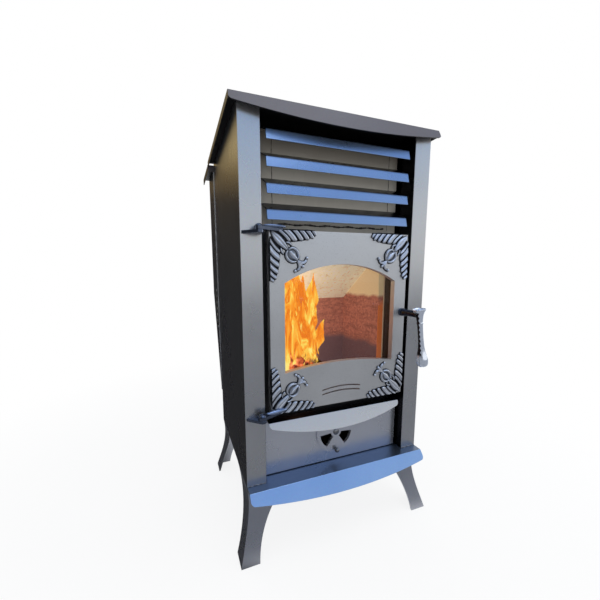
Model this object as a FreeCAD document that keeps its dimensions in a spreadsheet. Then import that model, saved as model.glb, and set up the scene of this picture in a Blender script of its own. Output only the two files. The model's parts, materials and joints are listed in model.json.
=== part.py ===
import FreeCAD, Part
import math
import os
import re

import Sketcher

# A free-standing sheet-steel stove for pellets and logs: a casing with louvres round a welded
# firebox, a cast door with a latch, an ash drawer with an air disc, and a pellet hopper behind.
# X points right seen from the front, the front faces -Y, Z is up and the floor is z = 0.
# In the formulas y = 0 is the front of the posts; origin_shift then centres the stove in depth.

SIZES = {
    # casing
    "body_width": 440, "body_depth": 310, "stove_height": 913, "casing_sheet": 2,
    "post_width": 42, "return_depth": 38, "rear_flange": 18,
    # lid with its bowed front lip
    "lid_thick": 4, "lid_side": 16, "lid_front": 5, "lid_reach": 16,
    "lid_drop_end": 17, "lid_drop_middle": 36, "lid_side_lip": 10,
    # base with its shelf and bowed skirt
    "base_height": 164, "base_thick": 4, "shelf_front": 20, "skirt_reach": 24,
    "skirt_drop_end": 17, "skirt_drop_middle": 31,
    # legs of bent angle
    "leg_flare": 22, "leg_foot": 35, "leg_waist": 31, "leg_head": 74, "leg_thick": 4,
    "ankle_height": 25, "ankle_flare": 15, "ankle_leaf": 31, "waist_height": 66, "waist_flare": 4.5,
    # louvres
    "louvre_drop": 46, "louvre_lip_share": 0.5, "louvre_reach": 4, "louvre_rise": 15,
    "louvre_setback": 6, "louvre_end_gap": 12, "louvre_clear": 14.75,
    # firebox
    "firebox_setback": 41, "firebox_plate": 4, "side_channel": 31, "rear_channel": 36, "top_gap": 26,
    "corner_radius": 37, "flange_width": 44, "floor_rise": 136, "throat_wall": 4,
    # flue collar
    "flue_radius": 60, "flue_wall": 3, "flue_height": 50, "flue_back": 66, "flue_gap": 4,
    "flue_flange": 14, "flange_thick": 3, "roof_hole_gap": 1,
    # fireproof boards
    "lining_thick": 25, "lining_front": 2, "lining_rise_rear": 230, "baffle_slope": 38, "board_gap": 1,
    # grate and burner
    "grate_half": 100, "grate_depth": 150, "grate_thick": 8, "grate_lip": 10, "grate_slot": 8,
    "grate_pitch": 20, "basket_half": 56, "basket_depth": 76, "basket_height": 42, "basket_wall": 3,
    # pellet chute
    "chute_half": 32, "chute_height": 50, "chute_slope": 35, "chute_wall": 2, "chute_rise": 18,
    "chute_mouth": 11, "chute_gap": 1,
    # hopper
    "hopper_gap": 8, "hopper_inset": 2, "hopper_depth": 118, "hopper_wall": 2, "hopper_drop": 9,
    "hopper_bend": 548, "hopper_foot": 250, "hopper_foot_depth": 20, "rail_width": 20,
    "vent_radius": 2.5, "vent_pitch": 19, "vent_top": 10, "vent_back": 46,
    "hopper_lid_sheet": 2, "hopper_lid_lip": 14, "hopper_lid_gap": 3, "lid_clearance": 0.3,
    "rod_radius": 3, "sleeve_wall": 2.5, "sleeve_length": 40, "sleeve_place": 150, "bracket_width": 14,
    # door casting
    "door_gap": 13, "door_rise": 152, "door_height": 370, "door_proud": 2.5, "door_plate": 12,
    "door_depth": 20, "rim_wall": 2.5, "window_side": 31, "window_crown": 65, "window_spring": 102,
    "window_sill": 84, "sill_rise": 12, "slot_half": 48, "slot_width": 3, "slot_bow": 5,
    "slot_low": 23, "slot_pitch": 10,
    # relief on the door's corners
    "relief_height": 3, "spray_start": 12, "leaf_pitch": 15, "leaf_length": 25, "leaf_width": 10,
    "leaf_edge": 4, "bud_place": 54, "bud_radius": 12, "stem_place": 24, "stem_width": 9,
    # glass and seals
    "glass_overlap": 5.5, "glass_thick": 4, "gasket_thick": 1.5, "gasket_width": 4, "rope_inset": 16.5,
    "rope_width": 7.5, "rope_thick": 10, "seal_gap": 0.3, "throat_inset": 18,
    "clip_spacing": 180, "clip_width": 16, "clip_foot": 12, "clip_hold": 9, "clip_thick": 2,
    "clip_screw": 3.5, "clip_head": 2,
    # door hinges
    "hinge_inset": 32, "hinge_reach": 14, "pin_radius": 4, "pin_clearance": 0.05, "knuckle_radius": 9,
    "arm_thick": 6, "arm_lift": 3, "arm_length": 52, "arm_root": 6, "bracket_thick": 6,
    "bracket_tip": 2, "pin_head": 8, "pin_dome": 5, "running_gap": 0.3,
    # latch and handle
    "spindle_inset": 9, "handle_rise": 196, "spindle_radius": 4, "boss_radius": 9, "boss_height": 6,
    "handle_standoff": 46, "arm_radius": 6.5, "grip_top": 12, "grip_flare": 13.5, "grip_neck": 5.5,
    "grip_length": 108, "flare_rim": 3, "flare_throat": 7.4, "grip_swell": 7.2, "swell_place": 78,
    "arm_collar": 7.8, "collar_length": 7, "bulb_radius": 11, "handle_tilt": 8,
    "tongue_reach": 18, "tongue_half": 4,
    "tongue_thick": 5, "tongue_gap": 0.5, "tongue_hub": 6.5, "latch_angle": 16, "latch_grip": 3,
    "keeper_reach": 8, "keeper_height": 13, "keeper_thick": 6, "nut_across": 12, "nut_thick": 4,
    "rim_notch": 22,
    # ash drawer
    "drawer_setback": 20, "drawer_sheet": 3, "drawer_side_gap": 6, "drawer_floor_gap": 2,
    "drawer_height": 123, "lip_inset": 4, "lip_sheet": 2, "lip_forward": 12, "lip_reach": 15,
    "lip_drop_end": 10, "lip_drop_middle": 34, "pan_side_gap": 5, "pan_depth": 226, "pan_height": 76,
    "pan_sheet": 2, "runner_height": 4, "runner_width": 18,
    # air disc
    "disc_radius": 50, "disc_sheet": 3, "disc_rise": 69, "vent_inner": 13, "vent_outer": 41,
    "vent_angle": 50, "knob_radius": 6, "knob_foot": 3.3, "knob_length": 11, "knob_place": 43,
    "screw_radius": 4, "screw_head": 8, "screw_dome": 3,
}

# how many there are, and the angles in degrees of the vents and of the leaves
LOUVRES = 4
LEAVES = 6
VENT_ANGLES = (90, 210, 330)
LEAF_TILT = 50
WORKED_OUT = {
    "half": "body_width / 2",
    "casing_inner": "half - casing_sheet",
    "post_inner": "half - post_width",
    "lid_low": "stove_height - lid_thick",
    "lid_half": "half + lid_side",
    "firebox_half": "casing_inner - side_channel",
    "firebox_inner": "firebox_half - firebox_plate",
    "seam": "firebox_half - flange_width",
    "lining_start": "firebox_setback + corner_radius + lining_front",
    "firebox_front": "firebox_setback",
    "front_inside": "firebox_front + firebox_plate",
    "firebox_back": "body_depth - casing_sheet - rear_channel",
    "back_inside": "firebox_back - firebox_plate",
    "firebox_top": "lid_low - top_gap",
    "roof_low": "firebox_top - firebox_plate",
    "floor_top": "base_height + floor_rise",
    "floor_low": "floor_top - firebox_plate",
    "flue_y": "back_inside - flue_back",
    "board_inner": "firebox_inner - lining_thick",
    "board_rear": "back_inside - lining_thick",
    "board_front": "front_inside + lining_front",
    "baffle_low": "floor_top + lining_rise_rear",
    "baffle_tan": "tan(baffle_slope)",
    "baffle_front": "board_front + 2 * lining_thick",
    "grate_back": "board_rear - board_gap",
    "grate_front": "grate_back - grate_depth",
    "grate_top": "floor_top + grate_thick",
    "basket_back": "grate_back - chute_mouth",
    "basket_front": "basket_back - basket_depth",
    "chute_tan": "tan(chute_slope)",
    "chute_front": "board_rear - chute_mouth",
    "chute_low": "floor_top + chute_rise",
    "hopper_half": "half - hopper_inset",
    "hopper_front": "body_depth + hopper_gap",
    "hopper_inside": "hopper_front + hopper_wall",
    "hopper_rear": "hopper_front + hopper_depth",
    "hopper_top": "stove_height - hopper_drop",
    "foot_rear": "hopper_front + hopper_foot_depth",
    "back_slope": "(hopper_rear - foot_rear) / (hopper_bend - hopper_foot)",
    "back_shift": "hopper_wall * sqrt(1 + back_slope * back_slope)",
    "pellet_low": "chute_low + (hopper_inside - chute_front) * chute_tan + chute_wall",
    "pellet_run": "(foot_rear - back_shift - hopper_inside + (pellet_low - hopper_foot) * back_slope)"
                  " / (1 - chute_tan * back_slope)",
    "lid_plate_low": "hopper_top + lid_clearance",
    "rod_y": "hopper_rear + rod_radius + sleeve_wall + running_gap",
    "rod_z": "lid_plate_low + hopper_lid_sheet - rod_radius - sleeve_wall",
    "sleeve_radius": "rod_radius + sleeve_wall",
    "door_half": "post_inner - door_gap",
    "door_low": "base_height + door_rise",
    "door_high": "door_low + door_height",
    "louvre_room": "stove_height - louvre_drop - louvre_clear - door_high",
    "louvre_pitch": f"louvre_room / ({LOUVRES - 1} + louvre_lip_share)",
    "louvre_lip": "louvre_pitch * louvre_lip_share",
    "door_middle": "door_low + door_height / 2",
    "door_face": "-door_proud",
    "door_back": "door_face + door_plate",
    "window_half": "door_half - window_side",
    "sill": "door_low + window_sill",
    "spring": "door_high - window_spring",
    "crown": "door_high - window_crown",
    "glass_half": "window_half + glass_overlap",
    "glass_low": "sill - glass_overlap",
    "glass_high": "crown + glass_overlap",
    "glass_front": "door_back + gasket_thick",
    "glass_back": "glass_front + glass_thick",
    "throat_front": "door_back + rope_thick + seal_gap",
    "throat_half": "door_half - throat_inset",
    "throat_low": "door_low + throat_inset",
    "throat_high": "door_high - throat_inset",
    "hinge_x": "hinge_inset - half",
    "arm_top": "door_high + arm_lift",
    "arm_low": "arm_top - arm_thick",
    "spindle_x": "door_half - spindle_inset",
    "handle_z": "door_low + handle_rise",
    "boss_front": "door_face - boss_height",
    "arm_back": "boss_front - running_gap",
    "grip_y": "arm_back - handle_standoff",
    "tongue_front": "door_back + tongue_gap",
    "tongue_back": "tongue_front + tongue_thick",
    "keeper_back": "tongue_front - running_gap",
    "keeper_top": "handle_z - tongue_half + latch_grip",
    "drawer_back": "drawer_setback + drawer_sheet",
    "drawer_half": "post_inner - drawer_side_gap",
    "drawer_low": "base_height + drawer_floor_gap",
    "drawer_high": "drawer_low + drawer_height",
    "drawer_throat_high": "drawer_high - lip_inset",
    "lip_fold": "drawer_setback - lip_forward",
    "pan_half": "seam - pan_side_gap",
    "pan_low": "base_height + runner_height + running_gap",
    "disc_z": "drawer_low + disc_rise",
    "disc_back": "drawer_setback - running_gap",
    "disc_front": "disc_back - disc_sheet",
    "front_most": "grip_y - grip_flare",
    "rear_most": "rod_y + sleeve_radius",
    "origin_shift": "-(front_most + rear_most) / 2",
}

VENTS = 7
SIDES = {"left": -1, "right": 1}
PLANES = {"XY": 1, "XZ": -1, "YZ": 1}
WORD = re.compile(r"[A-Za-z_]\w*")

DOC = FreeCAD.newDocument("stove")
SHEET = DOC.addObject("Spreadsheet::Sheet", "dim")
for row, (alias, size) in enumerate(SIZES.items(), 1):
    SHEET.set(f"A{row}", str(size))
    SHEET.setAlias(f"A{row}", alias)
DOC.recompute()
NODES = []


def expand(formula):
    """Writes a formula in cells of the sheet: worked-out names are opened up."""
    def swap(match):
        word = match.group()
        if word in WORKED_OUT:
            return "(" + expand(WORKED_OUT[word]) + ")"
        return "dim." + word if word in SIZES else word
    return WORD.sub(swap, str(formula))


def value(formula):
    """The present value of a formula, which starts a sketch off near its solution."""
    result = SHEET.evalExpression(expand(formula))
    return float(getattr(result, "Value", result))


def bind(thing, prop, formula):
    """Ties a property to the sheet."""
    thing.setExpression(prop, expand(formula))


def place(thing, x="0", y="0", z="0"):
    """Puts a sub-part's own origin at x, y, z of the stove."""
    bind(thing, "Placement.Base.x", x)
    bind(thing, "Placement.Base.y", f"{y} + origin_shift")
    bind(thing, "Placement.Base.z", z)


def keep(thing):
    """Counts an object as one of the stove's sub-parts."""
    NODES.append(thing)
    return thing


def new_body(label, x="0", y="0", z="0"):
    """An empty body whose sketches are measured from x, y, z."""
    body = DOC.addObject("PartDesign::Body", label)
    place(body, x, y, z)
    return body


def fix_point(sketch, geometry, end, x, y):
    """Dimensions a point of a sketch from the sketch's origin."""
    for kind, formula in (("DistanceX", x), ("DistanceY", y)):
        index = sketch.addConstraint(Sketcher.Constraint(kind, -1, 1, geometry, end, value(formula)))
        sketch.setExpression(f"Constraints[{index}]", expand(formula))


def draw_circle(sketch, x, y, radius):
    """A dimensioned circle."""
    centre = FreeCAD.Vector(value(x), value(y), 0)
    index = sketch.addGeometry(Part.Circle(centre, FreeCAD.Vector(0, 0, 1), value(radius)))
    fix_point(sketch, index, 3, x, y)
    size = sketch.addConstraint(Sketcher.Constraint("Radius", index, value(radius)))
    sketch.setExpression(f"Constraints[{size}]", expand(radius))


def draw_loop(sketch, corners):
    """A dimensioned closed loop; a corner with four formulas ends an arc through its last two."""
    points = [FreeCAD.Vector(value(corner[0]), value(corner[1]), 0) for corner in corners]
    ends = []
    for place_in_loop, corner in enumerate(corners):
        start, stop = points[place_in_loop - 1], points[place_in_loop]
        if len(corner) == 4:
            via = FreeCAD.Vector(value(corner[2]), value(corner[3]), 0)
            index = sketch.addGeometry(Part.Arc(start, via, stop))
            mark = sketch.addGeometry(Part.Point(via), True)
            fix_point(sketch, mark, 1, corner[2], corner[3])
            sketch.addConstraint(Sketcher.Constraint("PointOnObject", mark, 1, index))
        else:
            index = sketch.addGeometry(Part.LineSegment(start, stop))
        forward = sketch.getPoint(index, 1).distanceToPoint(start) < 1e-5
        ends.append((index, 1, 2) if forward else (index, 2, 1))
    for place_in_loop, corner in enumerate(corners):
        index, _, last = ends[place_in_loop]
        following, first, _ = ends[(place_in_loop + 1) % len(ends)]
        sketch.addConstraint(Sketcher.Constraint("Coincident", index, last, following, first))
        fix_point(sketch, index, last, corner[0], corner[1])


def new_sketch(body, plane, level, loops):
    """A sketch on one of the body's planes, moved to a level, with loops and circles in it."""
    sketch = body.newObject("Sketcher::SketchObject", body.Name + "_sketch")
    support = [p for p in body.Origin.OriginFeatures if p.Role == plane + "_Plane"][0]
    sketch.AttachmentSupport = [(support, "")]
    sketch.MapMode = "FlatFace"
    sign = "" if PLANES[plane] > 0 else "-"
    bind(sketch, "AttachmentOffset.Base.z", f"{sign}({level})")
    for loop in loops:
        if isinstance(loop, tuple):
            draw_circle(sketch, *loop)
        else:
            draw_loop(sketch, loop)
    return sketch


def extrude(body, plane, low, high, *loops, cut=False):
    """Pads loops from low to high along the plane's normal, or cuts them out of the body."""
    start = high if (PLANES[plane] < 0) != cut else low
    sketch = new_sketch(body, plane, start, loops)
    kind = "PartDesign::Pocket" if cut else "PartDesign::Pad"
    feature = body.newObject(kind, body.Name + ("_cut" if cut else "_pad"))
    feature.Profile = sketch
    bind(feature, "Length", f"({high}) - ({low})")
    DOC.recompute()
    return feature


def turn(body, plane, axis, loop):
    """Revolves a loop about its sketch's own horizontal or vertical axis."""
    sketch = new_sketch(body, plane, "0", [loop])
    feature = body.newObject("PartDesign::Revolution", body.Name + "_turned")
    feature.Profile = sketch
    feature.ReferenceAxis = (sketch, [axis])
    feature.Angle = 360
    DOC.recompute()
    return feature


def dome(radius, height):
    """The half-way point, as radius and height, of a dome's arc centred on its axis."""
    ball = f"(({radius})^2 + ({height})^2) / (2 * {height})"
    return f"{radius} / 2", f"sqrt(({ball})^2 - ({radius})^2 / 4) - ({ball}) + {height}"


def plate(label, plane, low, high, *loops):
    """A sub-part that is one outline, with any holes, of one thickness."""
    body = new_body(label)
    extrude(body, plane, low, high, *loops)
    return keep(body)


def box(label, x, y, z):
    """A block between a low and a high formula on each axis."""
    solid = DOC.addObject("Part::Box", label)
    for size, (low, high) in zip(("Length", "Width", "Height"), (x, y, z)):
        bind(solid, size, f"({high}) - ({low})")
    place(solid, x[0], y[0], z[0])
    return solid


def group(label, solids):
    """Identical small pieces as one sub-part of separate solids."""
    compound = DOC.addObject("Part::Compound", label)
    compound.Links = solids
    return keep(compound)


def rectangle(left, low, right, high):
    """The corners of a rectangle."""
    return [(left, low), (right, low), (right, high), (left, high)]


def frame(half, low, high, wall):
    """An outer and an inner rectangle a wall apart."""
    return (rectangle(f"-({half})", low, half, high),
            rectangle(f"-({half} - {wall})", f"{low} + {wall}", f"{half} - {wall}", f"{high} - {wall}"))


def lipped_plate(label, half, top, thick, fold, rear, reach, drop_end, drop_middle):
    """A plate whose front folds down into a sloping lip with a bowed lower edge."""
    body = new_body(label)
    tip = f"{fold} - {reach}"
    inner_fold = f"{tip} + {thick} + ({drop_middle} - {thick}) * {reach} / {drop_middle}"
    extrude(body, "YZ", f"-({half})", half, [
        (rear, top), (fold, top), (tip, f"{top} - {drop_middle}"),
        (f"{tip} + {thick}", f"{top} - {drop_middle}"), (inner_fold, f"{top} - {thick}"),
        (rear, f"{top} - {thick}")])
    beyond = f"{half} + {thick}"
    below = f"{top} - {drop_middle} - {thick}"
    extrude(body, "XZ", f"{tip} - {thick}", inner_fold, [
        (f"-({beyond})", f"{top} - {drop_end}"),
        (beyond, f"{top} - {drop_end}", "0", f"{top} - {drop_middle}"),
        (beyond, below), (f"-({beyond})", below)], cut=True)
    return keep(body)


def make_casing():
    """Side panels folded into posts, the rear panel, the lid and the base."""
    for side, sign in SIDES.items():
        def across(formula):
            return f"{sign} * ({formula})"
        plate(f"side_panel_{side}", "XY", "base_height", "lid_low", [
            (across("half"), "body_depth"), (across("half"), "0"), (across("post_inner"), "0"),
            (across("post_inner"), "return_depth"),
            (across("post_inner + casing_sheet"), "return_depth"),
            (across("post_inner + casing_sheet"), "casing_sheet"),
            (across("casing_inner"), "casing_sheet"),
            (across("casing_inner"), "body_depth - casing_sheet"),
            (across("casing_inner - rear_flange"), "body_depth - casing_sheet"),
            (across("casing_inner - rear_flange"), "body_depth")])
    panel_back = "body_depth - casing_sheet"
    plate("rear_panel", "XZ", f"{panel_back} - casing_sheet", panel_back,
          rectangle("-(casing_inner)", "base_height", "casing_inner", "lid_low"),
          chute_hole(f"{panel_back} - casing_sheet", panel_back))
    lid = lipped_plate("top_plate", "lid_half", "stove_height", "lid_thick", "-lid_front", "body_depth",
                       "lid_reach", "lid_drop_end", "lid_drop_middle")
    for sign in SIDES.values():
        extrude(lid, "XY", "lid_low - lid_side_lip", "lid_low", rectangle(
            f"{sign} * lid_half", "-lid_front", f"{sign} * (lid_half - casing_sheet)", "body_depth"))
    extrude(lid, "XY", "lid_low", "stove_height", ("0", "flue_y", "flue_radius + flue_gap"), cut=True)
    lipped_plate("base_plate", "half", "base_height", "base_thick", "-shelf_front", "body_depth",
                 "skirt_reach", "skirt_drop_end", "skirt_drop_middle")


def make_legs():
    """Four legs of bent angle, drawn in at the waist and flared at the foot."""
    head = "base_height - base_thick"
    stations = [("0", "leg_flare", "leg_foot"), ("ankle_height", "ankle_flare", "ankle_leaf"),
                ("waist_height", "waist_flare", "leg_waist"), (head, "0", "leg_head")]
    for row, (corner_y, inward) in {"front": ("0", 1), "rear": ("body_depth", -1)}.items():
        for side, sign in SIDES.items():
            body = new_body(f"leg_{row}_{side}")
            sketches = []
            for level, flare, leaf in stations:
                def at(x, y):
                    return (f"{sign} * (half + {flare} - ({x}))",
                            f"{corner_y} + {inward} * ({y} - {flare})")
                loop = [at("0", "0"), at(leaf, "0"), at(leaf, "leg_thick"),
                        at("leg_thick", "leg_thick"), at("leg_thick", leaf), at("0", leaf)]
                sketches.append(new_sketch(body, "XY", level, [loop]))
            DOC.recompute()
            loft = body.newObject("PartDesign::AdditiveLoft", body.Name + "_loft")
            loft.Profile = sketches[0]
            loft.Sections = sketches[1:]
            DOC.recompute()
            keep(body)


def make_louvres():
    """Sloping slats with a steeper lip, above the door."""
    for number in range(LOUVRES):
        bend = f"stove_height - louvre_drop - {number} * louvre_pitch"
        tip = "louvre_setback - louvre_reach"
        ends = "post_inner - louvre_end_gap"
        plate(f"louvre_{number + 1}", "YZ", f"-({ends})", ends, [
            ("firebox_front", f"{bend} + louvre_rise"), ("louvre_setback", bend),
            (tip, f"{bend} - louvre_lip"), (f"{tip} + casing_sheet", f"{bend} - louvre_lip"),
            ("louvre_setback + casing_sheet", f"{bend} - casing_sheet / 2"),
            ("firebox_front", f"{bend} + louvre_rise - casing_sheet")])


def make_firebox():
    """The welded firebox: side walls with rolled front corners, and the plates between them."""
    bend = "corner_radius - firebox_plate"
    for side, sign in SIDES.items():
        def across(formula):
            return f"{sign} * ({formula})"
        centre = "firebox_half - corner_radius"
        middle = "firebox_front + corner_radius"
        plate(f"firebox_wall_{side}", "XY", "base_height", "roof_low", [
            (across("firebox_half"), "firebox_back"), (across("firebox_half"), middle),
            (across(centre), "firebox_front", across(f"{centre} + corner_radius * cos(45)"),
             f"{middle} - corner_radius * sin(45)"),
            (across("seam"), "firebox_front"), (across("seam"), "front_inside"),
            (across(centre), "front_inside"),
            (across("firebox_inner"), middle, across(f"{centre} + ({bend}) * cos(45)"),
             f"{middle} - ({bend}) * sin(45)"),
            (across("firebox_inner"), "firebox_back")])
    plate("front_plate_upper", "XZ", "firebox_front", "front_inside",
          rectangle("-(seam)", "throat_high - throat_wall", "seam", "roof_low"))
    plate("front_plate_lower", "XZ", "firebox_front", "front_inside",
          rectangle("-(seam)", "drawer_throat_high - throat_wall", "seam", "throat_low + throat_wall"))
    plate("door_throat", "XZ", "throat_front", "firebox_front",
          *frame("throat_half", "throat_low", "throat_high", "throat_wall"))
    inner = "throat_half - throat_wall"
    plate("drawer_throat", "XZ", "drawer_back + running_gap", "firebox_front", [
        ("-(throat_half)", "base_height"), ("-(throat_half)", "drawer_throat_high"),
        ("throat_half", "drawer_throat_high"), ("throat_half", "base_height"), (inner, "base_height"),
        (inner, "drawer_throat_high - throat_wall"), (f"-({inner})", "drawer_throat_high - throat_wall"),
        (f"-({inner})", "base_height")])
    plate("firebox_rear", "XZ", "back_inside", "firebox_back",
          rectangle("-(firebox_inner)", "base_height", "firebox_inner", "roof_low"),
          chute_hole("back_inside", "firebox_back"))
    plate("firebox_roof", "XY", "roof_low", "firebox_top",
          rectangle("-(firebox_half)", "firebox_front", "firebox_half", "firebox_back"),
          ("0", "flue_y", "flue_radius - flue_wall + roof_hole_gap"))
    turn_x, turn_y = "(firebox_half - corner_radius)", "(firebox_front + corner_radius)"
    round_x = f"{turn_x} + ({bend} - board_gap) * cos(45)"
    round_y = f"{turn_y} - ({bend} - board_gap) * sin(45)"
    plate("firebox_floor", "XY", "floor_low", "floor_top", [
        ("-(firebox_inner)", "back_inside"), ("-(firebox_inner)", turn_y),
        (f"-{turn_x}", "front_inside", f"-({round_x})", round_y), (turn_x, "front_inside"),
        ("firebox_inner", turn_y, round_x, round_y), ("firebox_inner", "back_inside")],
          rectangle("grate_lip - grate_half", "grate_front + grate_lip", "grate_half - grate_lip",
                    "grate_back - grate_lip"))
    collar = new_body("flue_collar")
    bore = ("0", "flue_y", "flue_radius - flue_wall")
    extrude(collar, "XY", "firebox_top", "stove_height + flue_height", ("0", "flue_y", "flue_radius"), bore)
    extrude(collar, "XY", "firebox_top", "firebox_top + flange_thick",
            ("0", "flue_y", "flue_radius + flue_flange"), bore)
    keep(collar)


def chute_hole(front, back):
    """The opening that the chute needs in an upright plate between two depths."""
    low = f"chute_low + ({front} - chute_front) * chute_tan - chute_gap"
    high = f"chute_low + ({back} - chute_front) * chute_tan + chute_height + chute_gap"
    return rectangle("-(chute_half + chute_gap)", low, "chute_half + chute_gap", high)


def make_lining():
    """Fireproof boards on the walls and the sloping baffle that lies on them."""
    rear_top = "baffle_low - board_gap"
    front_top = "baffle_low + (board_rear - board_front) * baffle_tan"
    for side, sign in SIDES.items():
        low, high = sorted((f"{sign} * board_inner", f"{sign} * firebox_inner"), key=value)
        plate(f"lining_{side}", "YZ", low, high, [
            ("lining_start", "floor_top"), ("board_rear", "floor_top"),
            ("board_rear", "baffle_low"), ("baffle_front", f"{front_top} - (baffle_front - board_front)"
                                           " * baffle_tan"),
            ("lining_start", f"{front_top} - (baffle_front - board_front) * baffle_tan")])
    plate("lining_rear", "XZ", "board_rear", "back_inside",
          rectangle("-(firebox_inner)", "floor_top", "firebox_inner", rear_top),
          chute_hole("board_rear", "back_inside"))
    thick = "lining_thick / cos(baffle_slope)"
    front_low = "baffle_low + (board_rear - baffle_front) * baffle_tan"
    plate("baffle_board", "YZ", "board_gap - firebox_inner", "firebox_inner - board_gap", [
        ("board_rear", "baffle_low"), ("board_rear", f"baffle_low + {thick}"),
        ("baffle_front", f"{front_low} + {thick}"), ("baffle_front", front_low)])


def make_burner():
    """The grate, the pellet basket on it and the chute that feeds the basket."""
    slots = int(2 * SIZES["grate_half"] / SIZES["grate_pitch"]) - 1
    gaps = []
    for number in range(slots):
        middle = f"({number} - {(slots - 1) / 2}) * grate_pitch"
        gaps.append(rectangle(f"{middle} - grate_slot / 2", "grate_front + grate_lip + grate_slot",
                              f"{middle} + grate_slot / 2", "basket_front - grate_slot"))
    plate("grate", "XY", "floor_top", "grate_top",
          rectangle("-grate_half", "grate_front", "grate_half", "grate_back"), *gaps)
    basket = new_body("burner_basket")
    inner = "basket_half - basket_wall"
    extrude(basket, "XY", "grate_top", "grate_top + basket_wall",
            rectangle("-basket_half", "basket_front", "basket_half", "basket_back"))
    extrude(basket, "XY", "grate_top", "grate_top + basket_height", [
        ("-basket_half", "basket_front"), ("basket_half", "basket_front"), ("basket_half", "basket_back"),
        (inner, "basket_back"), (inner, "basket_front + basket_wall"),
        (f"-({inner})", "basket_front + basket_wall"), (f"-({inner})", "basket_back"),
        ("-basket_half", "basket_back")])
    keep(basket)
    chute = new_body("pellet_chute")

    def slanted(low, high):
        rise = "(hopper_inside - chute_front) * chute_tan"
        return [("chute_front", low), ("hopper_inside", f"{low} + {rise}"),
                ("hopper_inside", f"{high} + {rise}"), ("chute_front", high)]
    extrude(chute, "YZ", "-chute_half", "chute_half", slanted("chute_low", "chute_low + chute_height"))
    extrude(chute, "YZ", "chute_wall - chute_half", "chute_half - chute_wall",
            slanted("chute_low + chute_wall", "chute_low + chute_height - chute_wall"), cut=True)
    keep(chute)


def make_hopper():
    """The pellet hopper behind the casing, with a funnel floor, on two spacer rails."""
    inner = "hopper_half - hopper_wall"
    for side, sign in SIDES.items():
        low, high = sorted((f"{sign} * ({inner})", f"{sign} * hopper_half"), key=value)
        vents = [("hopper_front + vent_back", f"hopper_bend + vent_top - {number} * vent_pitch",
                  "vent_radius") for number in range(VENTS)]
        plate(f"hopper_side_{side}", "YZ", low, high, [
            ("hopper_front", "hopper_foot"), ("foot_rear", "hopper_foot"),
            ("hopper_rear", "hopper_bend"), ("hopper_rear", "hopper_top"),
            ("hopper_front", "hopper_top")], *vents)
    plate("hopper_front", "XZ", "hopper_front", "hopper_inside",
          rectangle(f"-({inner})", "hopper_foot", inner, "hopper_top"),
          chute_hole("hopper_front", "hopper_inside"))
    plate("hopper_back", "YZ", f"-({inner})", inner, [
        ("hopper_rear", "hopper_top"), ("hopper_rear", "hopper_bend"), ("foot_rear", "hopper_foot"),
        ("hopper_inside", "hopper_foot"), ("hopper_inside", "hopper_foot + hopper_wall"),
        ("foot_rear - back_shift + hopper_wall * back_slope", "hopper_foot + hopper_wall"),
        ("hopper_rear - hopper_wall", "hopper_bend + (back_shift - hopper_wall) / back_slope"),
        ("hopper_rear - hopper_wall", "hopper_top")])
    plate("hopper_floor", "YZ", f"-({inner})", inner, [
        ("hopper_inside", "pellet_low - hopper_wall"), ("hopper_inside", "pellet_low"),
        ("hopper_inside + pellet_run", "pellet_low + pellet_run * chute_tan"),
        ("hopper_inside + pellet_run - hopper_wall * back_slope",
         "pellet_low + pellet_run * chute_tan - hopper_wall")])
    rails = []
    for side, sign in SIDES.items():
        outer = f"{sign} * casing_inner"
        low, high = sorted((outer, f"{outer} - {sign} * rail_width"), key=value)
        rails.append(box(f"rail_{side}", (low, high), ("body_depth", "hopper_front"),
                         ("hopper_foot", "hopper_top - hopper_lid_lip - lid_clearance")))
    group("hopper_rails", rails)


def make_hopper_lid():
    """The hopper's lid with three lips, its sleeves, and the rods that they turn on."""
    lid = new_body("hopper_lid")
    top = "lid_plate_low + hopper_lid_sheet"
    front = "hopper_front - hopper_lid_gap - hopper_lid_sheet"
    extrude(lid, "XY", "lid_plate_low", top, rectangle("-(lid_half)", front, "lid_half", "hopper_rear"))
    inner = "lid_half - hopper_lid_sheet"
    extrude(lid, "XY", "lid_plate_low - hopper_lid_lip", "lid_plate_low", [
        ("-(lid_half)", front), ("lid_half", front), ("lid_half", "hopper_rear"), (inner, "hopper_rear"),
        (inner, f"{front} + hopper_lid_sheet"), (f"-({inner})", f"{front} + hopper_lid_sheet"),
        (f"-({inner})", "hopper_rear"), ("-(lid_half)", "hopper_rear")])
    for sign in SIDES.values():
        low, high = f"{sign} * sleeve_place - sleeve_length / 2", f"{sign} * sleeve_place + sleeve_length / 2"
        extrude(lid, "YZ", low, high, [
            ("hopper_rear", "lid_plate_low"), ("hopper_rear", top), ("rod_y", top),
            ("rod_y", "rod_z - sleeve_radius", "rod_y + sleeve_radius", "rod_z"),
            ("rod_y - sleeve_radius", "rod_z", "rod_y - sleeve_radius * cos(45)",
             "rod_z - sleeve_radius * sin(45)"),
            ("rod_y - sleeve_radius", "lid_plate_low")],
            ("rod_y", "rod_z", "rod_radius + pin_clearance"))
    keep(lid)
    brackets = new_body("lid_hinge_brackets")
    for sign in SIDES.values():
        inside = f"{sign} * sleeve_place - sleeve_length / 2 - running_gap"
        outside = f"{sign} * sleeve_place + sleeve_length / 2 + running_gap"
        extrude(brackets, "YZ", f"{inside} - bracket_width", inside, [
            ("hopper_rear", "rod_z - 2 * sleeve_radius"),
            ("rod_y", "rod_z - sleeve_radius"),
            ("rod_y", "rod_z + sleeve_radius", "rod_y + sleeve_radius", "rod_z"),
            ("hopper_rear", "rod_z - sleeve_radius")])
        extrude(brackets, "YZ", inside, outside, ("rod_y", "rod_z", "rod_radius"))
    keep(brackets)


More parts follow.
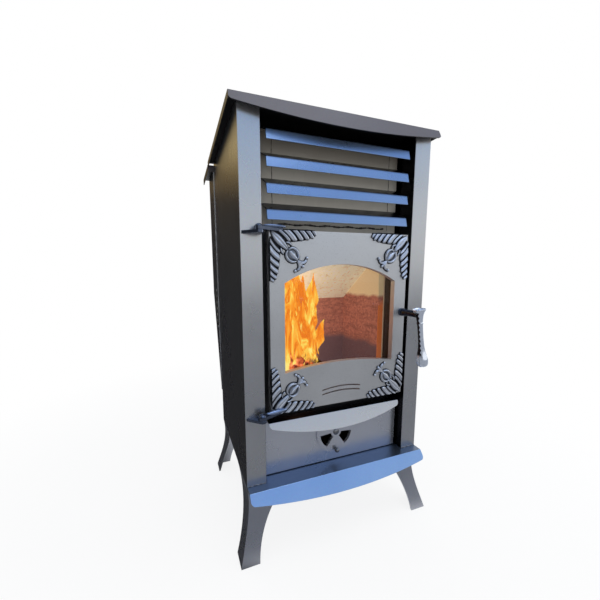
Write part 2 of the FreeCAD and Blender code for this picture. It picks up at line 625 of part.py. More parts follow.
def window_loop():
    """The arched window: a bowed head and a sill that bows with it."""
    middle = "door_middle"
    return [("-(window_half)", f"spring - {middle}"),
            ("window_half", f"spring - {middle}", "0", f"crown - {middle}"),
            ("window_half", f"sill - {middle}"),
            ("-(window_half)", f"sill - {middle}", "0", f"sill + sill_rise - {middle}")]


def slot_loop(number):
    """One bowed air slot with square ends."""
    low = f"slot_low + {number} * slot_pitch - door_height / 2"
    high = f"{low} + slot_width"
    return [("-slot_half", high), ("slot_half", high, "0", f"{high} + slot_bow"), ("slot_half", low),
            ("-slot_half", low, "0", f"{low} + slot_bow")]


def leaf(x, z, turn_by, length, width):
    """A pointed leaf from x, z, turned from the X axis by an angle in degrees."""
    across, up = math.cos(math.radians(turn_by)), math.sin(math.radians(turn_by))

    def at(along, aside):
        return (f"{x} + {across:.4f} * ({along}) - {up:.4f} * ({aside})",
                f"{z} + {up:.4f} * ({along}) + {across:.4f} * ({aside})")
    return [at("0", "0") + at(f"({length}) / 2", f"{width} / 2"),
            at(length, "0") + at(f"({length}) / 2", f"-({width}) / 2")]


def make_door():
    """The cast door: plate, rim, hinge arms, latch boss, and leaf sprays with buds in the corners."""
    door = new_body("door_casting", "0", "door_face", "door_middle")
    low, high = "-door_height / 2", "door_height / 2"
    outer = rectangle("-(door_half)", low, "door_half", high)
    boss_z = "handle_z - door_middle"
    extrude(door, "XZ", "0", "door_plate", outer, window_loop(), slot_loop(0), slot_loop(1))
    extrude(door, "XZ", "door_plate", "door_depth",
            *frame("door_half", low, high, "rim_wall"))
    extrude(door, "XZ", "-boss_height", "0", ("spindle_x", boss_z, "boss_radius"))
    extrude(door, "XZ", "-boss_height - running_gap", "door_plate",
            ("spindle_x", boss_z, "spindle_radius + pin_clearance"), cut=True)
    extrude(door, "XZ", "door_plate", "door_depth", rectangle(
        "door_half - 2 * rim_wall", f"{boss_z} - rim_notch", "door_half + rim_wall",
        f"{boss_z} + rim_notch"), cut=True)
    axis_y = "door_proud - hinge_reach"
    for arm_bottom in (low, "arm_low - door_middle"):
        extrude(door, "XY", arm_bottom, f"{arm_bottom} + arm_thick", [
            ("hinge_x", f"{axis_y} + knuckle_radius"),
            ("hinge_x", f"{axis_y} - knuckle_radius", "hinge_x - knuckle_radius", axis_y),
            ("hinge_x + knuckle_radius * 0.8", f"{axis_y} - knuckle_radius * 0.6"),
            ("hinge_x + arm_length", "0"), ("hinge_x + arm_length", "arm_root"),
            ("rim_wall - door_half", "arm_root"), ("-(door_half)", "arm_root / 2")],
            ("hinge_x", axis_y, "pin_radius + pin_clearance"))
    sprays = []
    corner_x, corner_z = "-(door_half) + leaf_edge", "door_height / 2 - leaf_edge"
    for number in range(LEAVES):
        along = f"spray_start + {number} * leaf_pitch"
        shrink = 1 - 0.09 * number
        size = (f"leaf_length * {shrink:.2f}", f"leaf_width * {shrink:.2f}")
        sprays.append(leaf(f"{corner_x} + {along}", corner_z, -LEAF_TILT, *size))
        sprays.append(leaf(corner_x, f"{corner_z} - ({along})", LEAF_TILT - 90, *size))
    bud = (f"{corner_x} + bud_place", f"{corner_z} - bud_place", "bud_radius")
    stem = leaf(f"{corner_x} + stem_place", f"{corner_z} - stem_place", -45,
                "(bud_place - stem_place) * sqrt(2) - bud_radius - relief_height / 2", "stem_width")
    relief = extrude(door, "XZ", "-relief_height", "0", *sprays, bud, stem)
    mirror_all(door, relief)
    keep(door)


def mirror_all(body, feature):
    """Repeats a corner's feature in the other three corners of the body."""
    planes = {plane.Role: plane for plane in body.Origin.OriginFeatures}
    across = body.newObject("PartDesign::MultiTransform", body.Name + "_corners")
    across.Originals = [feature]
    steps = []
    for role in ("YZ_Plane", "XY_Plane"):
        step = body.newObject("PartDesign::Mirrored", body.Name + "_mirror")
        step.MirrorPlane = (planes[role], [""])
        steps.append(step)
    across.Transformations = steps
    body.Tip = across
    DOC.recompute()


def make_glazing():
    """The glass, its gasket and clips, and the door's rope seal."""
    plate("door_glass", "XZ", "glass_front", "glass_back",
          rectangle("-(glass_half)", "glass_low", "glass_half", "glass_high"))
    plate("glass_gasket", "XZ", "door_back", "glass_front",
          *frame("glass_half", "glass_low", "glass_high", "gasket_width"))
    rope_half = "door_half - rope_inset"
    plate("door_rope", "XZ", "door_back", "door_back + rope_thick",
          *frame(rope_half, "door_low + rope_inset", "door_high - rope_inset", "rope_width"))
    clips, screws = [], []
    back = "glass_back + clip_thick"
    for name, edge, sign in (("low", "glass_low", -1), ("high", "glass_high", 1)):
        for side, hand in SIDES.items():
            centre = f"{hand} * clip_spacing / 2"
            clip = new_body(f"clip_{name}_{side}")
            foot = f"{edge} + {sign} * running_gap"
            extrude(clip, "YZ", f"{centre} - clip_width / 2", f"{centre} + clip_width / 2", [
                ("door_back", foot), ("glass_back", foot), ("glass_back", f"{edge} - {sign} * clip_hold"),
                (back, f"{edge} - {sign} * clip_hold"), (back, f"{foot} + {sign} * clip_foot"),
                ("door_back", f"{foot} + {sign} * clip_foot")])
            clips.append(clip)
            screw = new_body(f"screw_{name}_{side}")
            extrude(screw, "XZ", back, f"{back} + clip_head",
                    (centre, f"{foot} + {sign} * clip_foot / 2", "clip_screw"))
            screws.append(screw)
    group("glass_clips", clips)
    group("clip_screws", screws)


def make_hinges():
    """Pointed brackets on the left post and the domed pins that stand in them."""
    for name, top, thick, arm_top in (
            ("upper", "arm_low - running_gap", "bracket_thick", "arm_top"),
            ("lower", "door_low - running_gap", "bracket_thick", "door_low + arm_thick")):
        low = f"{top} - {thick}"
        axis_y = "-hinge_reach"
        plate(f"hinge_bracket_{name}", "XY", low, top, [
            ("bracket_tip - half", "0"),
            ("hinge_x - knuckle_radius * cos(45)", f"{axis_y} - knuckle_radius * sin(45)"),
            ("hinge_x + knuckle_radius", axis_y, "hinge_x + knuckle_radius * cos(45)",
             f"{axis_y} - knuckle_radius * sin(45)"),
            ("hinge_x + knuckle_radius", "0")], ("hinge_x", axis_y, "pin_radius"))
        pin = new_body(f"hinge_pin_{name}", "hinge_x", axis_y, low)
        shank = f"{arm_top} - ({low}) + running_gap"
        aside, above = dome("pin_head", "pin_dome")
        turn(pin, "XZ", "V_Axis", [
            ("0", "0"), ("pin_radius", "0"), ("pin_radius", shank), ("pin_head", shank),
            ("0", f"{shank} + pin_dome", aside, f"{shank} + {above}")])
        keep(pin)


def make_handle():
    """The latch: a turned grip whose arm ends in the spindle, the tongue, nut and keeper."""
    lever = new_body("handle_lever", "spindle_x", "grip_y", "handle_z")
    lever.Placement = FreeCAD.Placement(FreeCAD.Vector(), FreeCAD.Rotation(FreeCAD.Vector(0, -1, 0), 1))
    place(lever, "spindle_x", "grip_y", "handle_z")
    bind(lever, "Placement.Rotation.Angle", "handle_tilt")
    bulb = "bulb_radius - grip_length"
    turn(lever, "XZ", "V_Axis", [
        ("0", "grip_top"), ("0", "-grip_length"),
        ("bulb_radius", bulb, "bulb_radius * cos(45)", f"{bulb} - bulb_radius * sin(45)"),
        ("grip_neck", "-grip_length / 2", "grip_swell", "-swell_place"),
        ("grip_neck", "-grip_top"), ("grip_flare", "grip_top - flare_rim", "flare_throat", "0"),
        ("grip_flare", "grip_top")])
    spindle_end = "tongue_back + nut_thick - (grip_y)"
    turn(lever, "YZ", "H_Axis", [
        ("0", "0"), (spindle_end, "0"), (spindle_end, "spindle_radius"),
        ("handle_standoff", "spindle_radius"), ("handle_standoff", "arm_collar"),
        ("handle_standoff - collar_length", "arm_radius"), ("0", "arm_radius")])
    keep(lever)
    tongue = new_body("latch_tongue")
    tongue.Placement = FreeCAD.Placement(FreeCAD.Vector(), FreeCAD.Rotation(FreeCAD.Vector(0, -1, 0), 1))
    place(tongue, "spindle_x", "0", "handle_z")
    bind(tongue, "Placement.Rotation.Angle", "latch_angle")
    extrude(tongue, "XZ", "tongue_front", "tongue_back", [
        ("0", "tongue_hub"), ("0", "-tongue_hub", "-tongue_hub", "0"), ("tongue_hub", "-tongue_half"),
        ("tongue_reach", "-tongue_half"), ("tongue_reach", "tongue_half"), ("tongue_hub", "tongue_half")],
        ("0", "0", "spindle_radius"))
    keep(tongue)
    nut = new_body("spindle_nut", "spindle_x", "0", "handle_z")
    corner = "nut_across / sqrt(3)"
    hexagon = [(f"{corner} * cos({60 * side})", f"{corner} * sin({60 * side})") for side in range(6)]
    extrude(nut, "XZ", "tongue_back", "tongue_back + nut_thick", hexagon, ("0", "0", "spindle_radius"))
    keep(nut)
    keep(box("latch_keeper", ("post_inner - keeper_reach", "post_inner"),
             ("keeper_back - keeper_thick", "keeper_back"), ("keeper_top - keeper_height", "keeper_top")))


def vent_loops(offset):
    """Three vents shaped as ring sectors about the disc's centre."""
    loops = []
    for middle in VENT_ANGLES:
        def at(radius, share):
            angle = f"({middle} + {share} * vent_angle / 2)"
            return f"{radius} * cos{angle}", f"{offset} + {radius} * sin{angle}"
        loops.append([at("vent_inner", -1) + at("vent_inner", 0), at("vent_outer", -1),
                      at("vent_outer", 1) + at("vent_outer", 0), at("vent_inner", 1)])
    return loops


def make_drawer():
    """The ash drawer: vented front, bowed pull lip, pan, and the runners that it slides on."""
    plate("drawer_front", "XZ", "drawer_setback", "drawer_back",
          rectangle("-(drawer_half)", "drawer_low", "drawer_half", "drawer_high"),
          ("0", "disc_z", "screw_radius"), *vent_loops("disc_z"))
    lipped_plate("drawer_lip", "drawer_half - lip_inset", "drawer_high + lip_sheet", "lip_sheet", "lip_fold",
                 "drawer_back", "lip_reach", "lip_drop_end", "lip_drop_middle")
    pan = new_body("drawer_pan")
    back = "drawer_back + pan_depth"
    extrude(pan, "XY", "pan_low", "pan_low + pan_height",
            rectangle("-(pan_half)", "drawer_back", "pan_half", back))
    extrude(pan, "XY", "pan_low + pan_sheet", "pan_low + pan_height",
            rectangle("pan_sheet - pan_half", "drawer_back + pan_sheet", "pan_half - pan_sheet",
                      f"{back} - pan_sheet"), cut=True)
    extrude(pan, "XZ", "drawer_back", "drawer_back + pan_sheet", *vent_loops("disc_z"), cut=True)
    keep(pan)
    runners = []
    for side, sign in SIDES.items():
        low, high = sorted((f"{sign} * pan_half", f"{sign} * (pan_half - runner_width)"), key=value)
        runners.append(box(f"runner_{side}", (low, high), ("drawer_back + running_gap", "back_inside"),
                           ("base_height", "base_height + runner_height")))
    group("drawer_runners", runners)


def make_air_disc():
    """The turning air disc on the drawer's front, its knob and its pivot screw."""
    disc = new_body("air_disc", "0", "0", "disc_z")
    extrude(disc, "XZ", "disc_front", "disc_back", ("0", "0", "disc_radius"),
            ("0", "0", "screw_radius + pin_clearance"), *vent_loops("0"))
    keep(disc)
    knob = new_body("air_knob", "0", "disc_front", "disc_z - knob_place")
    aside, above = dome("knob_radius", "knob_radius")
    turn(knob, "YZ", "H_Axis", [
        ("0", "0"), ("-knob_length", "0"),
        ("knob_radius - knob_length", "knob_radius", f"knob_radius - knob_length - ({above})", aside),
        ("0", "knob_foot")])
    keep(knob)
    screw = new_body("pivot_screw", "0", "disc_front - running_gap", "disc_z")
    aside, above = dome("screw_head", "screw_dome")
    turn(screw, "YZ", "H_Axis", [
        ("0", "screw_radius"), ("drawer_back - disc_front + running_gap", "screw_radius"),
        ("drawer_back - disc_front + running_gap", "0"), ("-screw_dome", "0"),
        ("0", "screw_head", f"-({above})", aside)])
    keep(screw)


def write_parts():
    """Checks every object of the document and writes one file for each sub-part."""
    DOC.recompute()
    for thing in DOC.Objects:
        if "Invalid" in thing.State or "Error" in thing.State:
            raise RuntimeError(f"{thing.Label}: {thing.State}")
    os.makedirs("parts", exist_ok=True)
    for node in NODES:
        if node.Shape.isNull() or not node.Shape.isValid() or not node.Shape.Solids:
            raise RuntimeError(f"{node.Label} has no sound shape")
        node.Shape.exportStep(os.path.join("parts", node.Label + ".step"))
    print(f"{len(NODES)} sub-parts written")


make_casing()
make_legs()
make_louvres()
make_firebox()
make_lining()
make_burner()
make_hopper()
make_hopper_lid()
make_door()
make_glazing()
make_hinges()
make_handle()
make_drawer()
make_air_disc()
write_parts()
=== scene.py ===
"""A free-standing stove for logs and pellets, dressed and lit for the studio."""
import json
import math

import bmesh
import bpy
from mathutils import Matrix, Vector


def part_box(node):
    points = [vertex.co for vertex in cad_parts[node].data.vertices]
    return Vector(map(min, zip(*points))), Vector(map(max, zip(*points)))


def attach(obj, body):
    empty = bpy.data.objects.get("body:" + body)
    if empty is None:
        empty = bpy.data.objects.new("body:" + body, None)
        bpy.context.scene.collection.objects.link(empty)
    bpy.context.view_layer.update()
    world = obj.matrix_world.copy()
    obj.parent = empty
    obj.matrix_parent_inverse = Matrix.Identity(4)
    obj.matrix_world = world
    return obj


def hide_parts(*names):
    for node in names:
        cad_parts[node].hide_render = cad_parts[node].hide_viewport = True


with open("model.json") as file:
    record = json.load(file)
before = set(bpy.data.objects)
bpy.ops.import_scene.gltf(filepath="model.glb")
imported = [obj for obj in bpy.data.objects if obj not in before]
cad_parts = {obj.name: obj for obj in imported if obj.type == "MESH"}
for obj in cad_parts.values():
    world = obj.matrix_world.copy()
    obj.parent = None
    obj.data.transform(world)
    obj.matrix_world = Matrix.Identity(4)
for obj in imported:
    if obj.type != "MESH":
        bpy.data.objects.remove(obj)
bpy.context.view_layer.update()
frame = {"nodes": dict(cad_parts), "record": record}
NODES = frame["nodes"]
BODY_OF = {node: body for body, members in frame["record"]["behaviour"]["bodies"].items() for node in members}
SLOT_OF = {entry["node"]: entry["material_slot"] for entry in frame["record"]["subparts"]}
POST_FRONT = -0.1895
MM = 0.001
TOUCH = 0.0002
SIDES = (("left", -1), ("right", 1))


class Value:
    """A shader socket that can be used in sums, differences and products."""

    def __init__(self, finish, socket):
        self.finish = finish
        self.socket = socket

    def maths(self, operation, first, second):
        made = self.finish.node("ShaderNodeMath", {"operation": operation}, {0: first, 1: second})
        return made.out(0)

    def __add__(self, other):
        return self.maths("ADD", self, other)

    def __sub__(self, other):
        return self.maths("SUBTRACT", self, other)

    def __rsub__(self, other):
        return self.maths("SUBTRACT", other, self)

    def __mul__(self, other):
        return self.maths("MULTIPLY", self, other)

    __radd__ = __add__
    __rmul__ = __mul__


class Made:
    """A shader node whose outputs come back as values."""

    def __init__(self, finish, node):
        self.finish = finish
        self.node = node

    def out(self, key=0):
        return Value(self.finish, self.node.outputs[key])


class Finish:
    """A procedural surface finish, built node by node."""

    def __init__(self, name, owner=None):
        self.owner = owner or bpy.data.materials.new(name)
        self.owner.use_nodes = True
        self.tree = self.owner.node_tree
        self.tree.nodes.clear()
        self.place = None

    def node(self, kind, settings=None, sockets=None):
        """Adds a node: its settings come first, then the values or links of its sockets."""
        made = self.tree.nodes.new(kind)
        for key, setting in (settings or {}).items():
            if key == "stops":
                ramp = made.color_ramp
                while len(ramp.elements) < len(setting):
                    ramp.elements.new(1.0)
                for element, (position, colour) in zip(ramp.elements, setting):
                    element.position = position
                    element.color = (*colour, 1.0)
            else:
                setattr(made, key, setting)
        for key, given in (sockets or {}).items():
            if isinstance(given, Value):
                self.tree.links.new(given.socket, made.inputs[key])
            else:
                made.inputs[key].default_value = given
        return Made(self, made)

    def spot(self):
        """The piece's own coordinates, in metres."""
        if self.place is None:
            self.place = self.node("ShaderNodeTexCoord").out("Object")
        return self.place

    def along(self, axis):
        """One of the piece's own coordinates."""
        return self.node("ShaderNodeSeparateXYZ", None, {0: self.spot()}).out("XYZ".index(axis))

    def facing(self, axis):
        """One part of the direction that the surface faces."""
        normal = self.node("ShaderNodeNewGeometry").out("Normal")
        return self.node("ShaderNodeSeparateXYZ", None, {0: normal}).out("XYZ".index(axis))

    def stretch(self, *scale):
        """The piece's coordinates, stretched along the axes."""
        return self.node("ShaderNodeMapping", None, {"Vector": self.spot(), "Scale": scale}).out()

    def grain(self, scale, detail=3.0, rough=0.55, spot=None, distort=0.0):
        """Cloudy noise from 0 to 1."""
        return self.node("ShaderNodeTexNoise", None, {
            "Vector": spot or self.spot(), "Scale": scale, "Detail": detail, "Roughness": rough,
            "Distortion": distort}).out("Fac")

    def cells(self, scale, output="Distance", spot=None):
        """A pattern of cells."""
        made = self.node("ShaderNodeTexVoronoi", None, {"Vector": spot or self.spot(), "Scale": scale})
        return made.out(output)

    def range(self, value, low, high, start=0.0, end=1.0):
        """Spreads the stretch from low to high over start to end, softly and with no overshoot."""
        return self.node("ShaderNodeMapRange", {"interpolation_type": "SMOOTHSTEP"}, {
            0: value, 1: low, 2: high, 3: start, 4: end}).out()

    def ramp(self, value, *stops):
        """A colour picked from stops of (position, colour)."""
        return self.node("ShaderNodeValToRGB", {"stops": stops}, {0: value}).out()

    def mix(self, share, first, second, blend="MIX"):
        """One colour going over into another."""
        return self.node("ShaderNodeMix", {"data_type": "RGBA", "blend_type": blend}, {
            0: share, 6: tint(first), 7: tint(second)}).out(2)

    def bump(self, height, depth):
        """A surface relief, with its depth in metres."""
        return self.node("ShaderNodeBump", None, {"Height": height, "Distance": depth, "Strength": 1.0}).out()

    def surface(self, **sockets):
        """The shader: constants are set on its own sockets, and the rest is linked."""
        named = {key.replace("_", " "): given for key, given in sockets.items()}
        shader = self.node("ShaderNodeBsdfPrincipled", None, named)
        self.node("ShaderNodeOutputMaterial", None, {"Surface": shader.out()})
        return self.owner


def tint(colour):
    """A colour with its alpha, or a link as it is."""
    return colour if isinstance(colour, Value) else (*colour, 1.0)


FOLD_BLEND = 0.0012
# Painted shade: the depth at which a folded panel's inside turns black, and that black.
INSIDE_FROM, INSIDE_FULL = POST_FRONT + 0.0006, POST_FRONT + 0.0016
PANEL_BLACK, SHADOW_BLACK = (0.012, 0.012, 0.014), (0.012, 0.012, 0.013)


def casing_paint(name, pale=(0.21, 0.212, 0.22), inside=None, behind=None, dark=None):
    """Grey metallic stove paint, sprayed on sheet: fine flake and faint clouds.

    Painted shade: it is darker behind a fold, or on top where no fold is given, and black inside a folded
    panel.
    """
    finish = Finish(name)
    clouds = finish.grain(6.0, 4.0)
    flake = finish.cells(1600.0, "Color")
    colour = finish.mix(clouds, tuple(0.86 * part for part in pale), tuple(1.06 * part for part in pale))
    colour = finish.mix(0.12, colour, flake, "OVERLAY")
    # Painted shade: darker behind a fold, or on upward faces where no fold is given.
    if behind:
        colour = finish.mix(finish.range(finish.along("Y"), behind, behind + FOLD_BLEND), colour, dark)
    elif dark:
        colour = finish.mix(finish.range(finish.facing("Z"), 0.6, 0.9), colour, dark)
    # Painted shade: black on the inside faces of a folded panel.
    if inside:
        across = finish.along("X")
        within = finish.range(across * across, inside * inside, (inside - FOLD_BLEND) ** 2)
        painted_inside_shade = within * finish.range(finish.along("Y"), INSIDE_FROM, INSIDE_FULL)
        colour = finish.mix(painted_inside_shade, colour, PANEL_BLACK)
    peel = finish.grain(420.0, 2.0)
    return finish.surface(
        Base_Color=colour, Metallic=0.9, Roughness=finish.range(clouds, 0.3, 0.75, 0.26, 0.34),
        Normal=finish.bump(peel, 0.00002), IOR=1.5)


def lid_paint():
    """Duller, darker paint on the lid, with a faint purple cast, and black side edges and underside as
    painted shade.
    """
    finish = Finish("lid_paint")
    clouds = finish.grain(6.0, 4.0)
    flake = finish.cells(1200.0, "Color")
    colour = finish.mix(clouds, (0.09, 0.077, 0.078), (0.122, 0.106, 0.108))
    colour = finish.mix(0.15, colour, flake, "OVERLAY")
    # Painted shade: black on faces turned aside or downwards.
    aside = finish.facing("X") * finish.facing("X")
    painted_shade_faces = finish.range(aside - 0.6 * finish.facing("Z"), 0.25, 0.55)
    return finish.surface(
        Base_Color=finish.mix(painted_shade_faces, colour, SHADOW_BLACK), Metallic=0.2,
        Roughness=finish.range(clouds, 0.3, 0.75, 0.42, 0.52),
        Normal=finish.bump(finish.grain(420.0, 2.0), 0.00008))


def cast_paint():
    """The same paint on the grainier skin of a casting."""
    finish = Finish("cast_paint")
    clouds = finish.grain(9.0, 4.0)
    pits = finish.grain(700.0, 3.0, 0.6)
    colour = finish.mix(clouds, (0.48, 0.485, 0.49), (0.58, 0.585, 0.59))
    colour = finish.mix(finish.range(pits, 0.6, 0.75), colour, (0.24, 0.24, 0.245))
    return finish.surface(
        Base_Color=colour, Metallic=0.75, Roughness=finish.range(clouds, 0.3, 0.7, 0.36, 0.46),
        Normal=finish.bump(pits, 0.0001))


RELIEF_FOOT, RELIEF_CREST = -0.1916, -0.1962


def relief_paint():
    """Paint on the raised leaves, rubbed bright on the crests with a painted highlight, and near black at the
    foot as painted shade.
    """
    finish = Finish("relief_paint")
    # Painted highlight and shade: brighter with height, near black at the foot and along the low rims.
    rise = finish.range(finish.along("Y"), RELIEF_FOOT, RELIEF_CREST)
    rub = finish.grain(240.0, 3.0)
    colour = finish.ramp(rise, (0.0, (0.006, 0.006, 0.008)), (0.38, (0.02, 0.022, 0.028)),
                         (0.66, (0.27, 0.29, 0.33)), (1.0, (0.55, 0.58, 0.64)))
    colour = finish.mix(finish.range(rub, 0.55, 0.75, 0.0, 0.3), colour, (0.2, 0.21, 0.23))
    return finish.surface(Base_Color=colour, Metallic=0.8, Roughness=finish.range(rub, 0.3, 0.7, 0.3, 0.42),
                          Normal=finish.bump(rub, 0.0001))


DOOR_FOOT, DOOR_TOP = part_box("door_casting")[0].z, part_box("door_casting")[1].z
# Heights over which the plate turns darker and browner towards the top.
TOP_DARK_LOW, TOP_DARK_HIGH = 0.77, 0.885
# Painted shade: the band beside the door where the plate turns black.
PAINTED_SHADE_INNER, PAINTED_SHADE_OUTER = 0.147, 0.153


def firebox_paint():
    """Plain firebox plate: grey-beige where heat bleached it, darker at the top, in painted shade beside and
    below the door.
    """
    finish = Finish("firebox_paint")
    patches = finish.grain(11.0, 5.0, 0.6)
    streaks = finish.grain(18.0, 3.0, 0.5, finish.stretch(6.0, 6.0, 0.7))
    colour = finish.ramp(patches, (0.25, (0.6, 0.56, 0.48)), (0.55, (0.65, 0.61, 0.53)),
                         (0.8, (0.7, 0.66, 0.58)))
    colour = finish.mix(finish.range(streaks, 0.55, 0.8, 0.0, 0.35), colour, (0.55, 0.52, 0.46))
    across, up = finish.along("X"), finish.along("Z")
    # Darker and browner towards the top.
    colour = finish.mix(finish.range(up, TOP_DARK_LOW, TOP_DARK_HIGH), colour, (0.26, 0.225, 0.18))
    # Painted shade: black beside and below the door, up to the door's top.
    beside = finish.range(across * across, PAINTED_SHADE_INNER ** 2, PAINTED_SHADE_OUTER ** 2)
    beneath = finish.range(up, DOOR_FOOT + 0.018, DOOR_FOOT + 0.008)
    below_top = finish.range(up, DOOR_TOP + 0.008, DOOR_TOP - 0.002)
    colour = finish.mix((beside + beneath) * below_top, colour, SHADOW_BLACK)
    return finish.surface(
        Base_Color=colour, Metallic=0.0, Roughness=finish.range(streaks, 0.2, 0.8, 0.4, 0.58),
        Normal=finish.bump(finish.grain(300.0, 3.0), 0.0001))


FIRELIGHT = (1.0, 0.94, 0.85)


def firelit(finish, colour, shade, glow):
    """Rough board lit by a painted glow of firelight, brightest beside the flames."""
    # Painted light: the board glows with the fire's colour, most near the flames.
    near = finish.range(finish.along("X"), 0.2, -0.1, 0.35, 1.0)
    painted_firelight = finish.mix(near, (0.0, 0.0, 0.0), finish.mix(1.0, colour, FIRELIGHT, "MULTIPLY"))
    return finish.surface(
        Base_Color=colour, Roughness=finish.range(shade, 0.0, 1.0, 0.75, 0.95), Emission_Color=painted_firelight,
        Emission_Strength=glow, Normal=finish.bump(finish.cells(240.0), 0.0004))


def fireproof_board(name, dark, middle, pale, soot, glow):
    """Pressed vermiculite: flakes in a paler ground, smoked in clouds."""
    finish = Finish(name)
    shade = finish.node("ShaderNodeSeparateColor", None, {0: finish.cells(190.0, "Color")}).out(0)
    ground = finish.ramp(shade, (0.0, dark), (0.3, middle), (0.8, middle), (1.0, pale))
    clouds = finish.grain(13.0, 5.0, 0.6)
    # The glow that firelit gives is painted firelight.
    return firelit(finish, finish.mix(finish.range(clouds, 0.45, 0.75, 0.0, 0.8), ground, soot), shade, glow)


LINING_FRONT, LINING_ASH, LINING_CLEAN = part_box("lining_right")[0].y, 0.425, 0.552


def smoked_and_firelit_lining():
    """The same board after many fires: pale above, brown in the middle, dark below, its red cast and red
    front ends painted firelight.
    """
    finish = Finish("smoked_and_firelit_lining")
    shade = finish.node("ShaderNodeSeparateColor", None, {0: finish.cells(190.0, "Color")}).out(0)
    clouds = finish.grain(13.0, 5.0, 0.6)
    streaks = finish.grain(16.0, 4.0, 0.6, finish.stretch(1.0, 1.0, 5.0))
    colour = finish.ramp(shade, (0.0, (0.29, 0.11, 0.085)), (0.4, (0.38, 0.145, 0.11)),
                         (1.0, (0.45, 0.185, 0.14)))
    colour = finish.mix(finish.range(streaks, 0.45, 0.75, 0.0, 0.7), colour, (0.17, 0.065, 0.055))
    height = finish.along("Z") + 0.03 * clouds
    ashy = finish.range(height, LINING_ASH + 0.012, LINING_ASH - 0.006)
    colour = finish.mix(ashy, colour, (0.14, 0.08, 0.095))
    colour = finish.mix(finish.range(height, LINING_CLEAN, LINING_CLEAN + 0.01), colour, (0.7, 0.58, 0.38))
    # Painted firelight: the front ends glow red.
    ends = finish.range(finish.along("Y"), LINING_FRONT + 0.0012, LINING_FRONT + 0.0004)
    smoked = finish.range(height, LINING_CLEAN, LINING_CLEAN - 0.02)
    return firelit(finish, finish.mix(ends * smoked, colour, (0.66, 0.19, 0.07)), shade, 0.95)


def grate_iron():
    """Raw casting with scale and ash."""
    finish = Finish("grate_iron")
    scale = finish.grain(60.0, 5.0, 0.65)
    colour = finish.ramp(scale, (0.3, (0.035, 0.03, 0.028)), (0.6, (0.09, 0.07, 0.06)),
                         (0.85, (0.3, 0.27, 0.24)))
    return finish.surface(Base_Color=colour, Metallic=0.4, Roughness=finish.range(scale, 0.3, 0.8, 0.55, 0.9),
                          Normal=finish.bump(scale, 0.0008))


def window_glass():
    """Clear ceramic glass with a breath of warm tint and wiped smears."""
    finish = Finish("window_glass")
    smears = finish.grain(9.0, 3.0, 0.5, finish.stretch(1.0, 1.0, 0.35))
    return finish.surface(
        Base_Color=finish.mix(smears, (0.97, 0.94, 0.88), (1.0, 0.985, 0.96)),
        Roughness=finish.range(smears, 0.3, 0.8, 0.0, 0.03), Transmission_Weight=1.0, IOR=1.2)


def seal_fibre():
    """Braided glass-fibre rope."""
    finish = Finish("seal_fibre")
    weave = finish.node("ShaderNodeTexWave", {"wave_type": "BANDS", "bands_direction": "DIAGONAL"}, {
        "Vector": finish.spot(), "Scale": 150.0, "Distortion": 2.0, "Detail": 2.0}).out("Fac")
    fuzz = finish.grain(500.0, 4.0)
    colour = finish.mix(weave, (0.07, 0.068, 0.065), (0.3, 0.29, 0.275))
    colour = finish.mix(finish.range(fuzz, 0.5, 0.8, 0.0, 0.6), colour, (0.42, 0.4, 0.38))
    return finish.surface(Base_Color=colour, Roughness=0.95, Normal=finish.bump(weave + 0.5 * fuzz, 0.0008))


GRIP_HEAD = Vector((0.156, POST_FRONT - 0.0548, 0.512))
GRIP_LEAN = 8
# Where the painted dark reflection runs down the grip.
STREAK_LOW, STREAK_HIGH, STREAK_WAVE = -0.096, 0.006, 0.0009
STREAK_ACROSS, STREAK_ALONG, STREAK_TURNS = 0.68, 0.73, 620.0


def grip_metal():
    """Pale polished nickel, its blue tint partly painted sky reflection, with a dark twisted streak down the
    neck as painted reflection.
    """
    finish = Finish("grip_metal")
    haze = finish.grain(45.0, 4.0)
    twist = finish.node("ShaderNodeMath", {"operation": "SINE"}, {0: STREAK_TURNS * finish.along("Z")}).out()
    rise = finish.along("Z") - GRIP_HEAD.z
    aside = finish.along("X") - GRIP_HEAD.x + math.tan(math.radians(GRIP_LEAN)) * rise
    place = STREAK_ACROSS * aside - STREAK_ALONG * (finish.along("Y") - GRIP_HEAD.y) + STREAK_WAVE * twist
    low_end = finish.range(rise, STREAK_LOW, STREAK_LOW + 0.008)
    high_end = finish.range(rise, STREAK_HIGH, STREAK_HIGH - 0.004)
    # Painted reflection: a dark twisted streak down one side of the neck.
    dark = finish.range(place, -0.0008, -0.002) * low_end * high_end
    colour = finish.mix(dark, finish.mix(haze, (0.74, 0.81, 0.94), (0.86, 0.91, 0.98)), (0.02, 0.018, 0.02))
    return finish.surface(Base_Color=colour, Metallic=0.82, Roughness=finish.range(haze, 0.3, 0.75, 0.1, 0.2))


def soot():
    """Black, slightly shiny soot on plate."""
    finish = Finish("soot")
    flecks = finish.grain(130.0, 4.0, 0.6)
    return finish.surface(
        Base_Color=finish.mix(flecks, (0.01, 0.01, 0.013), (0.035, 0.034, 0.042)),
        Roughness=finish.range(flecks, 0.3, 0.7, 0.45, 0.75), Normal=finish.bump(flecks, 0.0003))


def gloss_paint(name, dark, pale):
    """Hard blue-black gloss on the hinges, their blades and the handle's arm."""
    finish = Finish(name)
    haze = finish.grain(70.0, 4.0)
    return finish.surface(Base_Color=finish.mix(haze, dark, pale), Metallic=0.85,
                          Roughness=finish.range(haze, 0.3, 0.7, 0.12, 0.22))


def plain_steel():
    """Turned steel, a little oiled and browned."""
    finish = Finish("plain_steel")
    marks = finish.grain(90.0, 3.0, 0.5, finish.stretch(1.0, 1.0, 14.0))
    colour = finish.mix(marks, (0.15, 0.15, 0.16), (0.34, 0.34, 0.35))
    rough = finish.range(marks, 0.3, 0.7, 0.25, 0.42)
    return finish.surface(Base_Color=colour, Metallic=1.0, Roughness=rough)


